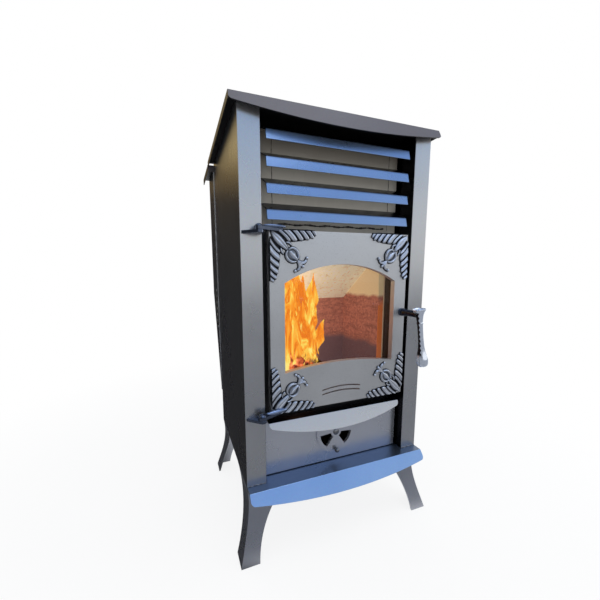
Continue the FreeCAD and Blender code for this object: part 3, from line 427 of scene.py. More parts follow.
def galvanised():
    """Zinc-coated sheet with its crystal spangle."""
    finish = Finish("galvanised")
    spangle = finish.node("ShaderNodeSeparateColor", None, {0: finish.cells(70.0, "Color")}).out(1)
    colour = finish.mix(spangle, (0.34, 0.35, 0.36), (0.52, 0.53, 0.54))
    rough = finish.range(spangle, 0.0, 1.0, 0.3, 0.5)
    return finish.surface(Base_Color=colour, Metallic=0.9, Roughness=rough)


def ember_glow():
    """Charred wood with glowing cracks."""
    finish = Finish("ember_glow")
    cracks = finish.cells(75.0, "Distance", finish.stretch(1.0, 1.0, 1.3))
    heat = finish.grain(24.0, 3.0)
    glow = finish.range(heat + 0.25 * cracks, 0.5, 0.85)
    bark = finish.ramp(finish.grain(60.0, 4.0), (0.3, (0.02, 0.012, 0.01)), (0.6, (0.1, 0.05, 0.03)),
                       (0.85, (0.36, 0.3, 0.26)))
    fire = finish.ramp(glow, (0.0, (0.0, 0.0, 0.0)), (0.35, (0.3, 0.04, 0.01)), (0.7, (0.75, 0.16, 0.05)),
                       (1.0, (1.0, 0.42, 0.14)))
    return finish.surface(Base_Color=bark, Roughness=0.9, Emission_Color=fire, Emission_Strength=1.1,
                          Normal=finish.bump(cracks, 0.002))


FLAME_FOOT, FLAME_TOP = 0.36, 0.62
FLAME_DENSE, FLAME_CLEAR = 0.375, 0.45


def flame_glow():
    """Tongues of flame: clear at the edges, yellow at the heart and orange outside."""
    finish = Finish("flame_glow")
    licks = finish.grain(22.0, 3.0, 0.55, finish.stretch(1.7, 1.7, 0.5), 1.8)
    height = finish.range(finish.along("Z"), FLAME_FOOT, FLAME_TOP)
    core = finish.range(licks, 0.36, 0.72)
    fire = finish.ramp(core, (0.0, (0.84, 0.2, 0.014)), (0.25, (1.0, 0.35, 0.03)), (0.5, (1.0, 0.48, 0.06)),
                       (0.8, (1.0, 0.72, 0.12)), (1.0, (1.0, 0.86, 0.26)))
    low = finish.range(finish.along("Z"), FLAME_CLEAR, FLAME_DENSE)
    body = finish.range(licks - 0.1 * height - 0.36 * low, 0.2, 0.34)
    return finish.surface(
        Base_Color=(0.0, 0.0, 0.0, 1.0), Roughness=1.0, Specular_IOR_Level=0.0, Emission_Color=fire,
        Emission_Strength=1.0, Alpha=body)


def fire_cement():
    """Rough dark cement squeezed out of a joint."""
    finish = Finish("fire_cement")
    lumps = finish.grain(170.0, 5.0, 0.65)
    return finish.surface(
        Base_Color=finish.mix(lumps, (0.02, 0.018, 0.017), (0.1, 0.088, 0.075)), Roughness=0.95,
        Normal=finish.bump(lumps, 0.0012))


FINISHES = {
    "casing_paint": casing_paint("casing_paint"),
    "cast_paint": cast_paint(),
    "firebox_paint": firebox_paint(),
    "fireproof_board": fireproof_board("fireproof_board", (0.64, 0.57, 0.42), (0.82, 0.78, 0.64),
                                       (0.9, 0.87, 0.77), (0.66, 0.57, 0.43), 0.75),
    "grate_iron": grate_iron(),
    "window_glass": window_glass(),
    "seal_fibre": seal_fibre(),
    "bright_metal": grip_metal(),
    "plain_steel": plain_steel(),
    "galvanised": galvanised(),
}
LINING = smoked_and_firelit_lining()
# Painted light and shade on one paint: the posts' fronts in a lighter grey, the side panels behind the fold
# much darker.
FRONT_GREY = (0.5, 0.505, 0.52)
PANEL_INSIDE = 0.2194
POST_FOLD, LOUVRE_FOLD, SHELF_FOLD = POST_FRONT + 0.0006, POST_FRONT + 0.0052, POST_FRONT - 0.0204
PANEL_PAINT = casing_paint("panel_paint", FRONT_GREY, PANEL_INSIDE, POST_FOLD, (0.2, 0.202, 0.21))
# Painted reflection and shade: the louvres' blue is the sky they mirror, and their slats behind the fold are
# near black.
LOUVRE_PAINT = casing_paint("louvre_paint", (0.27, 0.37, 0.54), None, LOUVRE_FOLD, (0.014, 0.018, 0.03))
# Painted reflection and shade: the shelf's blue is the sky it mirrors, and its top behind the fold is a
# darker navy.
SHELF_PAINT = casing_paint("shelf_paint", (0.33, 0.46, 0.66), None, SHELF_FOLD, (0.15, 0.19, 0.265))
# Painted shade: the lip's upward faces near black.
LIP_PAINT = casing_paint("lip_paint", FRONT_GREY, dark=(0.02, 0.022, 0.028))
# Painted light: the legs, the drawer front and its air disc are lighter copies of the same grey paint.
LEG_PAINT = casing_paint("leg_paint", (0.38, 0.395, 0.44))
DRAWER_PAINT = casing_paint("drawer_paint", (0.68, 0.7, 0.76))
LID_PAINT = lid_paint()
RELIEF = relief_paint()
# Painted reflection: the handle's arm, of the grip's polished metal, painted near black for the dark stove it
# mirrors.
ARM_PAINT = gloss_paint("arm_paint", (0.012, 0.014, 0.026), (0.03, 0.038, 0.062))
# Painted highlight: the hinge blades in a paler blue copy of the hinge paint, on the same casting.
LEAF_PAINT = gloss_paint("leaf_paint", (0.12, 0.15, 0.22), (0.26, 0.33, 0.48))
HINGE_PAINT = gloss_paint("hinge_paint", (0.045, 0.055, 0.08), (0.11, 0.13, 0.18))
SOOT = soot()
EMBER = ember_glow()
FLAME = flame_glow()
CEMENT = fire_cement()


def weigh_normals(mesh, angle):
    """Weighs the shading by area, so that a flat face stays flat beside its rounded edges."""
    limit = math.cos(math.radians(angle))
    pull = [(face.normal.copy(), face.area) for face in mesh.polygons]
    meeting = [[] for vert in mesh.vertices]
    for face in mesh.polygons:
        for corner in face.vertices:
            meeting[corner].append(pull[face.index])
    normals = []
    for face in mesh.polygons:
        own = pull[face.index][0]
        for corner in face.vertices:
            total = own * 1e-12
            for normal, area in meeting[corner]:
                if normal.dot(own) > limit:
                    total += normal * area
            normals.append(total.normalized())
    mesh.shade_smooth()
    mesh.normals_split_custom_set(normals)


def finished(name, shape, body, material, slot, *stands_for, smooth=46.0):
    """Turns a bmesh into a piece at the origin that rides on a body."""
    mesh = bpy.data.meshes.new(name)
    shape.to_mesh(mesh)
    shape.free()
    weigh_normals(mesh, smooth)
    mesh.materials.append(material)
    piece = bpy.data.objects.new(name, mesh)
    bpy.context.scene.collection.objects.link(piece)
    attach(piece, body)
    if stands_for:
        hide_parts(*stands_for)
    return piece


def sharp_edges(shape, angle=25.0):
    """The edges where two faces meet at more than an angle."""
    return [edge for edge in shape.edges
            if len(edge.link_faces) == 2 and edge.calc_face_angle(0.0) > math.radians(angle)]


def round_edges(shape, width, segments=2, edges=None):
    """Rounds the sharp edges, as folding, casting or paint does."""
    rims = sharp_edges(shape) if edges is None else edges
    bmesh.ops.bevel(shape, geom=rims, offset=width, segments=segments, profile=0.5, affect="EDGES",
                    material=-1, clamp_overlap=True)


def welded(node):
    """A closed copy of a solid's mesh, with its flat faces whole again."""
    shape = bmesh.new()
    shape.from_mesh(NODES[node].data)
    bmesh.ops.remove_doubles(shape, verts=shape.verts, dist=0.000005)
    bmesh.ops.dissolve_limit(shape, angle_limit=math.radians(0.5), verts=shape.verts, edges=shape.edges,
                             delimit={"NORMAL"})
    return shape


LIP_TRIM, SLAT_LIFT = 0.0045, 0.005
LEG_BROAD, LEG_HEAD_BROAD, LEG_FOLD, LEG_LEVEL = 0.006, 0.016, 0.006, 0.004
TIP_LENGTH, LIP_DEPTH = 0.006, 0.02


def slanted(shape):
    """A louvre with its slat rising a little more to the rear and its lip a little shallower."""
    rear = max(vert.co.y for vert in shape.verts)
    lowest = min(vert.co.z for vert in shape.verts)
    for vert in shape.verts:
        if vert.co.z < lowest + TOUCH:
            vert.co.z += LIP_TRIM
        elif vert.co.y > rear - TOUCH:
            vert.co.z += SLAT_LIFT


def broadened(shape):
    """A leg with both its leaves a little broader, most of all at the head."""
    head = max(vert.co.z for vert in shape.verts)
    places = [vert.co.copy() for vert in shape.verts]
    for vert in shape.verts:
        place = vert.co.copy()
        level = [other for other in places if abs(other.z - place.z) < LEG_LEVEL]
        step = LEG_BROAD + LEG_HEAD_BROAD * (place.z / head) ** 2
        for axis in (0, 1):
            inward = max(abs(other[axis]) for other in level) - abs(place[axis])
            share = min(1.0, max(0.0, (inward - LEG_FOLD) / (2 * LEG_FOLD)))
            vert.co[axis] -= math.copysign(share * step, place[axis])


def softened(node, width, material=None, corner=None):
    """A solid with its edges rounded, and the lower corners of a bowed lip more so, in its own finish."""
    shape = welded(node)
    if node.startswith("louvre"):
        slanted(shape)
    if node.startswith("leg"):
        broadened(shape)
    if corner:
        half = max(vert.co.x for vert in shape.verts)
        front = min(vert.co.y for vert in shape.verts)
        tips = [edge for edge in shape.edges if edge.calc_length() < TIP_LENGTH
                and all(abs(v.co.x) > half - TOUCH and v.co.y < front + LIP_DEPTH for v in edge.verts)]
        lowest = min(v.co.z for edge in tips for v in edge.verts)
        tips = [edge for edge in tips if max(v.co.z for v in edge.verts) < lowest + MM]
        round_edges(shape, corner, 5, tips)
    round_edges(shape, width)
    slot = SLOT_OF[node]
    return finished("soft_" + node, shape, BODY_OF[node], material or FINISHES[slot], slot, node)


EDGE_WIDTHS = {
    "casing_paint": 0.0007, "cast_paint": 0.0012, "firebox_paint": 0.0008, "fireproof_board": 0.0018,
    "grate_iron": 0.0012, "window_glass": 0.0006, "seal_fibre": 0.0024, "plain_steel": 0.0005,
    "galvanised": 0.0004,
}
OWN_SHAPE = {"door_casting", "handle_lever"}
OWN_FINISH = {
    "side_panel_left": PANEL_PAINT, "side_panel_right": PANEL_PAINT, "base_plate": SHELF_PAINT,
    "top_plate": LID_PAINT, "hopper_lid": LID_PAINT,
    "louvre_1": LOUVRE_PAINT, "louvre_2": LOUVRE_PAINT, "louvre_3": LOUVRE_PAINT, "louvre_4": LOUVRE_PAINT,
    "leg_front_left": LEG_PAINT, "leg_front_right": LEG_PAINT,
    "leg_rear_left": LEG_PAINT, "leg_rear_right": LEG_PAINT,
    "drawer_front": DRAWER_PAINT, "drawer_lip": LIP_PAINT, "air_disc": DRAWER_PAINT,
    "lining_left": LINING, "lining_right": LINING, "lining_rear": LINING,
    "door_throat": SOOT, "latch_keeper": SOOT, "firebox_floor": SOOT,
    "drawer_pan": SOOT, "drawer_throat": SOOT,
    "hinge_bracket_upper": HINGE_PAINT, "hinge_bracket_lower": HINGE_PAINT,
    "hinge_pin_upper": HINGE_PAINT, "hinge_pin_lower": HINGE_PAINT,
}
BOWED = {"top_plate": 0.006, "base_plate": 0.008, "drawer_lip": 0.008}
for node in NODES:
    if node not in OWN_SHAPE:
        softened(node, EDGE_WIDTHS[SLOT_OF[node]], OWN_FINISH.get(node), BOWED.get(node))


FACE_TO_ROPE = 0.012
DOOR_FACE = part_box("door_rope")[0].y - FACE_TO_ROPE
DOOR_LOW, DOOR_HIGH = Vector((-0.165, 0.0, 0.316)), Vector((0.165, 0.0, 0.686))
RELIEF_PAD = 0.003
SPRAY_REACH = 0.115
DOOR_LEFT = DOOR_LOW.x - TOUCH
ARM_RIGHT, ARM_PROUD, ARM_HALF_THICK = -0.1, 0.0006, 0.003
BOSS_REACH = 0.016


def in_corner(spot):
    """Whether a point lies where the sprays are."""
    aside = min(spot.x - DOOR_LOW.x, DOOR_HIGH.x - spot.x)
    above = min(spot.z - DOOR_LOW.z, DOOR_HIGH.z - spot.z)
    return -MM < aside < SPRAY_REACH and -MM < above < SPRAY_REACH


def door_plate():
    """The casting without the plain pads of its corners, whose place the carved sprays take."""
    shape = welded("door_casting")
    top = DOOR_FACE - RELIEF_PAD
    pads = [face for face in shape.faces
            if min(v.co.y for v in face.verts) < top + TOUCH
            and all(top - TOUCH < v.co.y < DOOR_FACE + TOUCH and in_corner(v.co) for v in face.verts)]
    bmesh.ops.delete(shape, geom=pads, context="FACES")
    bmesh.ops.holes_fill(shape, edges=[edge for edge in shape.edges if edge.is_boundary], sides=0)
    bmesh.ops.recalc_face_normals(shape, faces=shape.faces)
    round_edges(shape, EDGE_WIDTHS["cast_paint"], 3)
    for face in shape.faces:
        middle = face.calc_center_median()
        proud = middle.y < DOOR_FACE - ARM_PROUD
        on_boss = proud and math.hypot(middle.x - GRIP_HEAD.x, middle.z - GRIP_HEAD.z) < BOSS_REACH
        if on_boss or middle.x < ARM_RIGHT and (middle.x < DOOR_LEFT or proud):
            face.material_index = 1
    plate = finished("door_plate", shape, "door", FINISHES["cast_paint"], "cast_paint", "door_casting")
    plate.data.materials.append(HINGE_PAINT)


LEAF_HALF, LEAF_TIP, LEAF_ROOT = 0.0065, 0.058, 0.15
LEAF_CROWNS = {"upper": 0.0034, "lower": 0.0052}


def hinge_leaf(word, crown):
    """The crowned blade of a hinge's arm, from beside the pin to its tip on the door."""
    low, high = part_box(f"hinge_pin_{word}")
    pin = Vector(((low.x + high.x) / 2, (low.y + high.y) / 2, high.z - ARM_HALF_THICK))
    tip = Vector((pin.x + LEAF_TIP, DOOR_FACE - MM, pin.z))
    root = pin.lerp(tip, LEAF_ROOT)
    run = tip - root
    turn = Matrix.Rotation(math.atan2(run.y, run.x), 3, "Z")
    shape = bmesh.new()
    bmesh.ops.create_uvsphere(shape, u_segments=32, v_segments=20, radius=1.0)
    bmesh.ops.scale(shape, vec=(run.length / 2, LEAF_HALF, crown), verts=shape.verts)
    bmesh.ops.rotate(shape, cent=(0, 0, 0), matrix=turn, verts=shape.verts)
    bmesh.ops.translate(shape, vec=(root + tip) / 2, verts=shape.verts)
    finished(f"hinge_leaf_{word}", shape, "door", LEAF_PAINT, "cast_paint", smooth=50.0)


for word, crown in LEAF_CROWNS.items():
    hinge_leaf(word, crown)


def ridge(shape, path, widths, height, settle, vein=0.3, rim=1.0, rows=16, columns=12):
    """A raised leaf or tendril: a strip laid along a bent path, with a crown, a vein and a low rim in painted
    shade.
    """
    start, first, second, end = (Vector(point) for point in path)
    for vert in bmesh.ops.create_grid(shape, x_segments=columns, y_segments=rows, size=1.0)["verts"]:
        across, share = vert.co.x, (vert.co.y + 1) / 2
        back = 1 - share
        spot = (back ** 3 * start + 3 * back * back * share * first + 3 * back * share * share * second
                + share ** 3 * end)
        way = (back * back * (first - start) + 2 * back * share * (second - first)
               + share * share * (end - second))
        way.normalize()
        step = share * (len(widths) - 1)
        lower = min(int(step), len(widths) - 2)
        width = widths[lower] + (widths[lower + 1] - widths[lower]) * (step - lower)
        inside = min(1.0, abs(across) * (width + rim) / max(width, 0.01))
        crown = (1 - inside ** 2.4) * (1 - vein * math.exp(-(across / 0.2) ** 2))
        ends = min(1.0, 7 * share, 7 * back) ** 0.5
        side = across * (width + rim)
        settle(vert, spot.x - way.y * side, spot.y + way.x * side, 0.0001 + height * crown * ends)


def lobe(shape, root, tip, depth, height, settle):
    """One lobe of a spray, which leaves the door's edge askew, bends and ends round.

    Its root and its tip are each given by their middle and half width.
    """
    for vert in bmesh.ops.create_grid(shape, x_segments=12, y_segments=14, size=1.0)["verts"]:
        across, share = vert.co.x, (vert.co.y + 1) / 2
        middle = root[0] + (tip[0] - root[0]) * (1 - (1 - share) ** 1.5)
        half = root[1] + (tip[1] - root[1]) * share
        end = max(0.0, (share - 0.72) / 0.28)
        half *= math.sqrt(max(0.0, 1 - 0.96 * end * end))
        fall = math.sqrt(max(0.0, 1 - end ** 2.5))
        crown = (1 - abs(across) ** 3.2) * (1 - 0.3 * math.exp(-((across + 0.25) / 0.16) ** 2))
        settle(vert, middle + across * half, 0.9 + (depth - 0.9) * share, 0.0002 + height * crown * fall)


def bulge(shape, middle, along, across, height, turn, settle):
    """A domed bud or berry, longer one way than the other."""
    for vert in bmesh.ops.create_uvsphere(shape, u_segments=20, v_segments=12, radius=1.0)["verts"]:
        u, v = vert.co.x * along, vert.co.y * across
        settle(vert, middle[0] + u * math.cos(turn) - v * math.sin(turn),
               middle[1] + u * math.sin(turn) + v * math.cos(turn), height * vert.co.z)


def corner_spray(name, side, level):
    """Two leafy sprays along the door's edges, and between them a stem with a bud and its three curls."""
    shape = bmesh.new()
    edge = DOOR_LOW if level < 0 else DOOR_HIGH
    hand = DOOR_LOW if side < 0 else DOOR_HIGH

    def settle(vert, aside, above, rise):
        vert.co = (hand.x - side * aside * MM, DOOR_FACE - rise, edge.z - level * above * MM)

    def swapped(vert, aside, above, rise):
        settle(vert, above, aside, rise)

    for place in (settle, swapped):
        ridge(shape, ((12, 8), (40, 11.5), (68, 10.5), (98, 4)), [6, 11, 11.5, 10.5, 9, 4.5], 0.0004, place,
              0.0)
        for root, tip, depth in (
                ((19.5, 5.4), (41, 4.4), 22.5), ((35.3, 8.9), (53, 7.0), 22), ((52.8, 6.6), (67, 5.8), 20.5),
                ((67, 6.5), (80, 5.6), 18.5), ((80.6, 6.0), (91, 4.6), 15.5), ((92.2, 4.7), (97, 3.0), 9.5)):
            lobe(shape, root, tip, depth, 0.0042, place)
    ridge(shape, ((2.5, 2.5), (13, 12), (23, 23), (40, 39)), [1.2, 5.4, 8.6, 9.0, 6.4, 2.8], 0.0052, settle,
          0.45)
    bulge(shape, (47.2, 46.6), 14.2, 13.6, 0.0024, math.radians(45), settle)
    ridge(shape, ((39, 39), (44, 43.5), (51, 51), (59, 58)), [1.4, 4.8, 6.2, 4.4, 1.6], 0.0066, settle,
          0.0, 1.2)
    for place in (settle, swapped):
        ridge(shape, ((38, 40), (44, 25), (68, 40), (58, 58)), [1.6, 2.8, 3.4, 3.2, 2.2], 0.0054, place, 0.0)
        ridge(shape, ((57, 58), (66, 62), (73, 67), (78, 54)), [2.8, 3.4, 3.6, 3.2, 2.4], 0.005, place, 0.3)
        ridge(shape, ((33, 24), (38, 22), (43, 25), (46, 30)), [1.6, 2.4, 2.4, 1.4], 0.004, place, 0.0)
        bulge(shape, (78.5, 53), 3.8, 3.4, 0.005, 0.0, place)
    ridge(shape, ((57, 57), (61, 61), (65, 65), (69, 69)), [2.4, 3.2, 3.4, 2.6], 0.0052, settle, 0.3)
    bulge(shape, (69.5, 69.5), 3.8, 3.6, 0.0052, 0.0, settle)
    bmesh.ops.recalc_face_normals(shape, faces=shape.faces)
    for face in shape.faces:
        if face.normal.y > 0.05:
            face.normal_flip()
    finished(name, shape, "door", RELIEF, "cast_paint", smooth=70.0)


door_plate()
for across, side in SIDES:
    for level, height in ((-1, "lower"), (1, "upper")):
        corner_spray(f"spray_{height}_{across}", side, level)


def spun(shape, outline, axis, steps=56):
    """Turns an outline of (radius, place along the axis) into a closed round piece at the origin."""
    across = Vector((0, 0, 1)) if axis.y else Vector((1, 0, 0))
    rail = [shape.verts.new(across * radius * MM + axis * place * MM) for radius, place in outline]
    edges = [shape.edges.new(pair) for pair in zip(rail, rail[1:])]
    bmesh.ops.spin(shape, geom=rail + edges, cent=(0, 0, 0), axis=axis, dvec=(0, 0, 0), angle=math.tau,
                   steps=steps, use_merge=True)
    bmesh.ops.remove_doubles(shape, verts=shape.verts, dist=0.000002)
    bmesh.ops.recalc_face_normals(shape, faces=shape.faces)


GRIP_TILT = Matrix.Rotation(math.radians(-GRIP_LEAN), 4, "Y")


def grip():
    """The turned grip: a trumpet mouth, a waisted neck with a fine bead, and a pear-shaped end."""
    shape = bmesh.new()
    spun(shape, [
        (0, 9.2), (7.5, 9.4), (11.2, 10.6), (12.6, 12), (13.4, 11.6), (13.5, 10.4), (12.8, 8.6), (11.2, 5.6),
        (9.2, 1.4), (7.6, -4), (6.6, -10), (6.0, -16), (6.6, -17.6), (6.9, -19), (6.6, -20.4), (5.9, -22),
        (5.6, -34), (5.5, -50), (5.8, -62), (6.5, -73), (7.8, -83), (9.8, -92), (11.7, -99), (12.4, -104.5),
        (12.1, -110), (10.6, -114.6), (7.6, -117.6), (3.8, -118.8), (0, -119)], Vector((0, 0, 1)))
    shape.transform(Matrix.Translation(GRIP_HEAD) @ GRIP_TILT)
    finished("grip", shape, "handle", FINISHES["bright_metal"], "bright_metal", "handle_lever", smooth=50.0)


def handle_arm():
    """The arm, near black as a painted reflection: a stout stem, a collar on the door's boss, and the spindle
    through the casting.
    """
    shape = bmesh.new()
    spun(shape, [
        (0, 0), (7.4, 0.4), (7.8, 6), (7.6, 16), (7.2, 26), (7.3, 33), (7.8, 38), (8.4, 40.6), (8.7, 43),
        (8.4, 45.2), (7.4, 46), (4, 46), (4, 73.6), (0, 73.6)], Vector((0, 1, 0)), 40)
    shape.transform(Matrix.Translation(GRIP_HEAD))
    finished("handle_arm", shape, "handle", ARM_PAINT, "bright_metal", smooth=50.0)


grip()
handle_arm()


def lumpy_rope(name, start, end, radius, wave, material, slot, rings=120, sides=10):
    """A bead of cement, weld or trim: a tube between two points, with lumps that come from sums of waves."""
    shape = bmesh.new()
    start, end = Vector(start), Vector(end)
    long = (end - start).length
    bmesh.ops.create_cone(shape, cap_ends=True, segments=sides, radius1=radius, radius2=radius, depth=long)
    runs = [edge for edge in shape.edges if abs(edge.verts[0].co.z - edge.verts[1].co.z) > long / 2]
    bmesh.ops.subdivide_edges(shape, edges=runs, cuts=rings, use_grid_fill=True)
    for vert in shape.verts:
        share = vert.co.z / wave
        swell = 1 + 0.22 * math.sin(share) + 0.16 * math.sin(2.7 * share + 1) + 0.12 * math.sin(5.3 * share)
        vert.co.x = vert.co.x * swell + radius * 0.5 * math.sin(0.61 * share)
        vert.co.y = vert.co.y * swell
    turn = Vector((0, 0, 1)).rotation_difference(end - start).to_matrix().to_4x4()
    shape.transform(Matrix.Translation((start + end) / 2) @ turn)
    return finished(name, shape, "stove", material, slot, smooth=80.0)


PLATE_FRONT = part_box("front_plate_upper")[0].y
HOPPER_FRONT, HOPPER_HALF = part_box("hopper_side_left")[0].y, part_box("hopper_side_right")[1].x
BEAD_HALF, BEAD_HEIGHT = 0.132, 0.7045
SEAM_HALF, SEAM_LOW, SEAM_HIGH = 0.143, 0.7, 0.876
TRIM_HALF, TRIM_LOW, TRIM_HIGH, TRIM_RADIUS = 0.2192, 0.256, 0.888, 0.0022
WELD_OUTER, WELD_INNER, WELD_HEIGHT = 0.218, 0.179, 0.1645
VENTS, VENT_PITCH, VENT_TOP, VENT_BACK = 7, 0.019, 0.558, 0.046
lumpy_rope("cement_bead", (-BEAD_HALF, PLATE_FRONT, BEAD_HEIGHT), (BEAD_HALF, PLATE_FRONT, BEAD_HEIGHT),
           0.0017, 0.005, CEMENT, "firebox_paint")
for word, side in SIDES:
    line = (side * SEAM_HALF, PLATE_FRONT + 0.0005)
    lumpy_rope(f"plate_seam_{word}", (*line, SEAM_LOW), (*line, SEAM_HIGH), 0.0008, 0.006, CEMENT,
               "firebox_paint", 40, 8)
for word, side in SIDES:
    line = (side * TRIM_HALF, HOPPER_FRONT - 0.004)
    lumpy_rope(f"hopper_trim_{word}", (*line, TRIM_LOW), (*line, TRIM_HIGH), TRIM_RADIUS, 10.0,
               FINISHES["galvanised"], "galvanised", 4, 12)


def vent_rims(word, side):
    """The raw, turned-out rims of a hopper side's row of vents."""
    shape = bmesh.new()
    for number in range(VENTS):
        ring = bmesh.new()
        outline = [(2.4, -0.3), (2.4, 0.5), (2.9, 0.9), (3.5, 0.6), (3.7, -0.3), (2.4, -0.3)]
        spun(ring, outline, Vector((0, 0, 1)), 20)
        place = (side * HOPPER_HALF, HOPPER_FRONT + VENT_BACK, VENT_TOP - VENT_PITCH * number)
        ring.transform(Matrix.Translation(place) @ Matrix.Rotation(side * math.pi / 2, 4, "Y"))
        made = bpy.data.meshes.new("vent_rim")
        ring.to_mesh(made)
        ring.free()
        shape.from_mesh(made)
        bpy.data.meshes.remove(made)
    return finished("vent_rims_" + word, shape, "stove", FINISHES["galvanised"], "galvanised", smooth=60.0)


for word, side in SIDES:
    vent_rims(word, side)
for word, side in SIDES:
    outer = (side * WELD_OUTER, POST_FRONT + 0.0004, WELD_HEIGHT)
    inner = (side * WELD_INNER, POST_FRONT + 0.0004, WELD_HEIGHT)
    lumpy_rope(f"post_weld_{word}", outer, inner, 0.0013, 0.0012, FINISHES["casing_paint"], "casing_paint",
               70, 8)


BED_ACROSS, BED_HALF = -0.084, 0.072
BED_MIDDLE, BED_DEEP, BED_HIGH = POST_FRONT + 0.104, 0.054, 0.128
COALS, COALS_LEFT, COALS_WIDE = 46, -0.143, 0.116
COALS_FRONT, COALS_DEEP = BED_MIDDLE - 0.041, 0.06


def ember_log(name, start, end, radius, seed):
    """A charred, glowing log."""
    shape = bmesh.new()
    start, end = Vector(start), Vector(end)
    long = (end - start).length
    bmesh.ops.create_cone(shape, cap_ends=True, segments=22, radius1=radius, radius2=radius * 0.9, depth=long)
    runs = [edge for edge in shape.edges if abs(edge.verts[0].co.z - edge.verts[1].co.z) > long / 2]
    bmesh.ops.subdivide_edges(shape, edges=runs, cuts=16, use_grid_fill=True)
    for vert in shape.verts:
        around = math.atan2(vert.co.y, vert.co.x)
        swell = 1 + 0.09 * math.sin(3 * around + seed) + 0.05 * math.sin(7 * around + 60 * vert.co.z + seed)
        swell += 0.06 * math.sin(90 * vert.co.z + 2 * around + seed)
        vert.co.x *= swell
        vert.co.y *= swell
    turn = Vector((0, 0, 1)).rotation_difference(end - start).to_matrix().to_4x4()
    shape.transform(Matrix.Translation((start + end) / 2) @ turn)
    return finished(name, shape, "stove", EMBER, "fireproof_board", smooth=60.0)


def ember_bed():
    """A mound of coals and ash at the left of the firebox, with loose lumps on it."""
    shape = bmesh.new()
    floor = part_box("firebox_floor")[1].z

    def surface(x, y):
        across = max(0.0, 1 - ((x - BED_ACROSS) / BED_HALF) ** 2)
        along = max(0.0, 1 - ((y - BED_MIDDLE) / BED_DEEP) ** 2)
        lumps = math.sin(190 * x + 2) * math.sin(210 * y) + 0.6 * math.sin(410 * x) * math.sin(370 * y + 1)
        return floor + (BED_HIGH + 0.006 * lumps) * (across * along) ** 0.6

    for vert in bmesh.ops.create_grid(shape, x_segments=60, y_segments=44, size=1.0)["verts"]:
        x, y = BED_ACROSS + BED_HALF * vert.co.x, BED_MIDDLE + BED_DEEP * vert.co.y
        vert.co = (x, y, surface(x, y))
    for number in range(COALS):
        x = COALS_LEFT + COALS_WIDE * (0.618 * number % 1)
        y = COALS_FRONT + COALS_DEEP * (0.414 * number % 1)
        size = 0.0055 + 0.005 * (0.732 * number % 1)
        lump = bmesh.ops.create_icosphere(shape, subdivisions=2, radius=size)["verts"]
        for vert in lump:
            vert.co *= 1 + 0.16 * math.sin(500 * vert.co.x + number) * math.cos(430 * vert.co.z + number)
            vert.co += Vector((x, y, surface(x, y)))
    return finished("ember_bed", shape, "stove", EMBER, "fireproof_board", smooth=50.0)


def flame(name, foot, height, width, lean, seed):
    """One billow of flame: a thin sheet that swells, narrows, leans and ripples as it rises."""
    shape = bmesh.new()
    for vert in bmesh.ops.create_grid(shape, x_segments=12, y_segments=30, size=1.0)["verts"]:
        across, rise = vert.co.x, (vert.co.y + 1) / 2
        swell = 0.8 + 0.2 * math.sin(2.6 + 5.5 * rise + seed)
        half = width * (1 - rise) ** 0.5 * swell
        edge = 0.16 * width * math.sin(21 * rise + 2 * seed + 3 * across) * rise
        sway = lean * rise ** 1.6 + 0.14 * width * math.sin(7 * rise + seed) * rise
        belly = 0.22 * half * (1 - across * across) + 0.005 * math.sin(9 * rise + seed + across)
        vert.co = Vector(foot) + Vector((
            across * half + sway + edge * across, belly, rise * height * (1 - 0.2 * across * across)))
    return finished(name, shape, "stove", FLAME, "fireproof_board", smooth=80.0)


FIRE_MIDDLE, FIRE_FOOT = POST_FRONT + 0.085, 0.345
FLAMES = (
    (-0.094, 0.012, 0.275, 0.056, 0.014), (-0.066, -0.004, 0.26, 0.05, 0.03),
    (-0.108, 0.026, 0.29, 0.05, 0.03), (-0.078, 0.036, 0.31, 0.048, -0.004),
    (-0.05, 0.02, 0.215, 0.042, 0.036), (-0.112, -0.016, 0.245, 0.04, 0.012),
    (-0.084, -0.022, 0.19, 0.036, -0.004), (-0.046, -0.018, 0.16, 0.028, 0.012),
    (-0.02, 0.026, 0.1, 0.024, 0.02), (-0.09, 0.046, 0.33, 0.044, 0.022),
    (-0.06, 0.05, 0.29, 0.04, 0.002), (-0.088, -0.008, 0.29, 0.05, 0.0),
    (-0.07, 0.028, 0.32, 0.052, -0.016), (-0.082, 0.002, 0.275, 0.056, 0.02),
    (-0.077, -0.01, 0.255, 0.05, 0.024), (-0.05, -0.016, 0.15, 0.036, 0.04),
)


def fire():
    """A fire at the left of the grate: coals, logs, and flames by place, height, half width and lean."""
    deep = FIRE_MIDDLE
    ember_bed()
    ember_log("ember_log_1", (-0.128, deep + 0.005, 0.336), (-0.030, deep + 0.075, 0.340), 0.026, 0.3)
    ember_log("ember_log_2", (-0.124, deep + 0.06, 0.372), (-0.040, deep - 0.01, 0.378), 0.022, 1.9)
    ember_log("ember_log_3", (-0.126, deep - 0.03, 0.332), (-0.035, deep - 0.028, 0.334), 0.024, 4.0)
    ember_log("ember_log_4", (-0.122, deep, 0.385), (-0.07, deep + 0.02, 0.388), 0.016, 2.6)
    for number, (x, y, height, width, lean) in enumerate(FLAMES):
        flame(f"flame_{number + 1}", (x, deep + y, FIRE_FOOT), height, width, lean, 1.7 * number)


fire()


def hang_softbox(name, place, aim, width, height, power, colour):
    """A rectangular softbox, turned towards a point."""
    lamp = bpy.data.lights.new(name, "AREA")
    lamp.shape = "RECTANGLE"
    lamp.size = width
    lamp.size_y = height
    lamp.energy = power
    lamp.color = colour
    softbox = bpy.data.objects.new(name, lamp)
    softbox.location = place
    softbox.rotation_euler = (Vector(aim) - Vector(place)).to_track_quat("-Z", "Y").to_euler()
    bpy.context.scene.collection.objects.link(softbox)


WHITE = (1.0, 1.0, 1.0)
FLOOR_RADIUS = 25.0


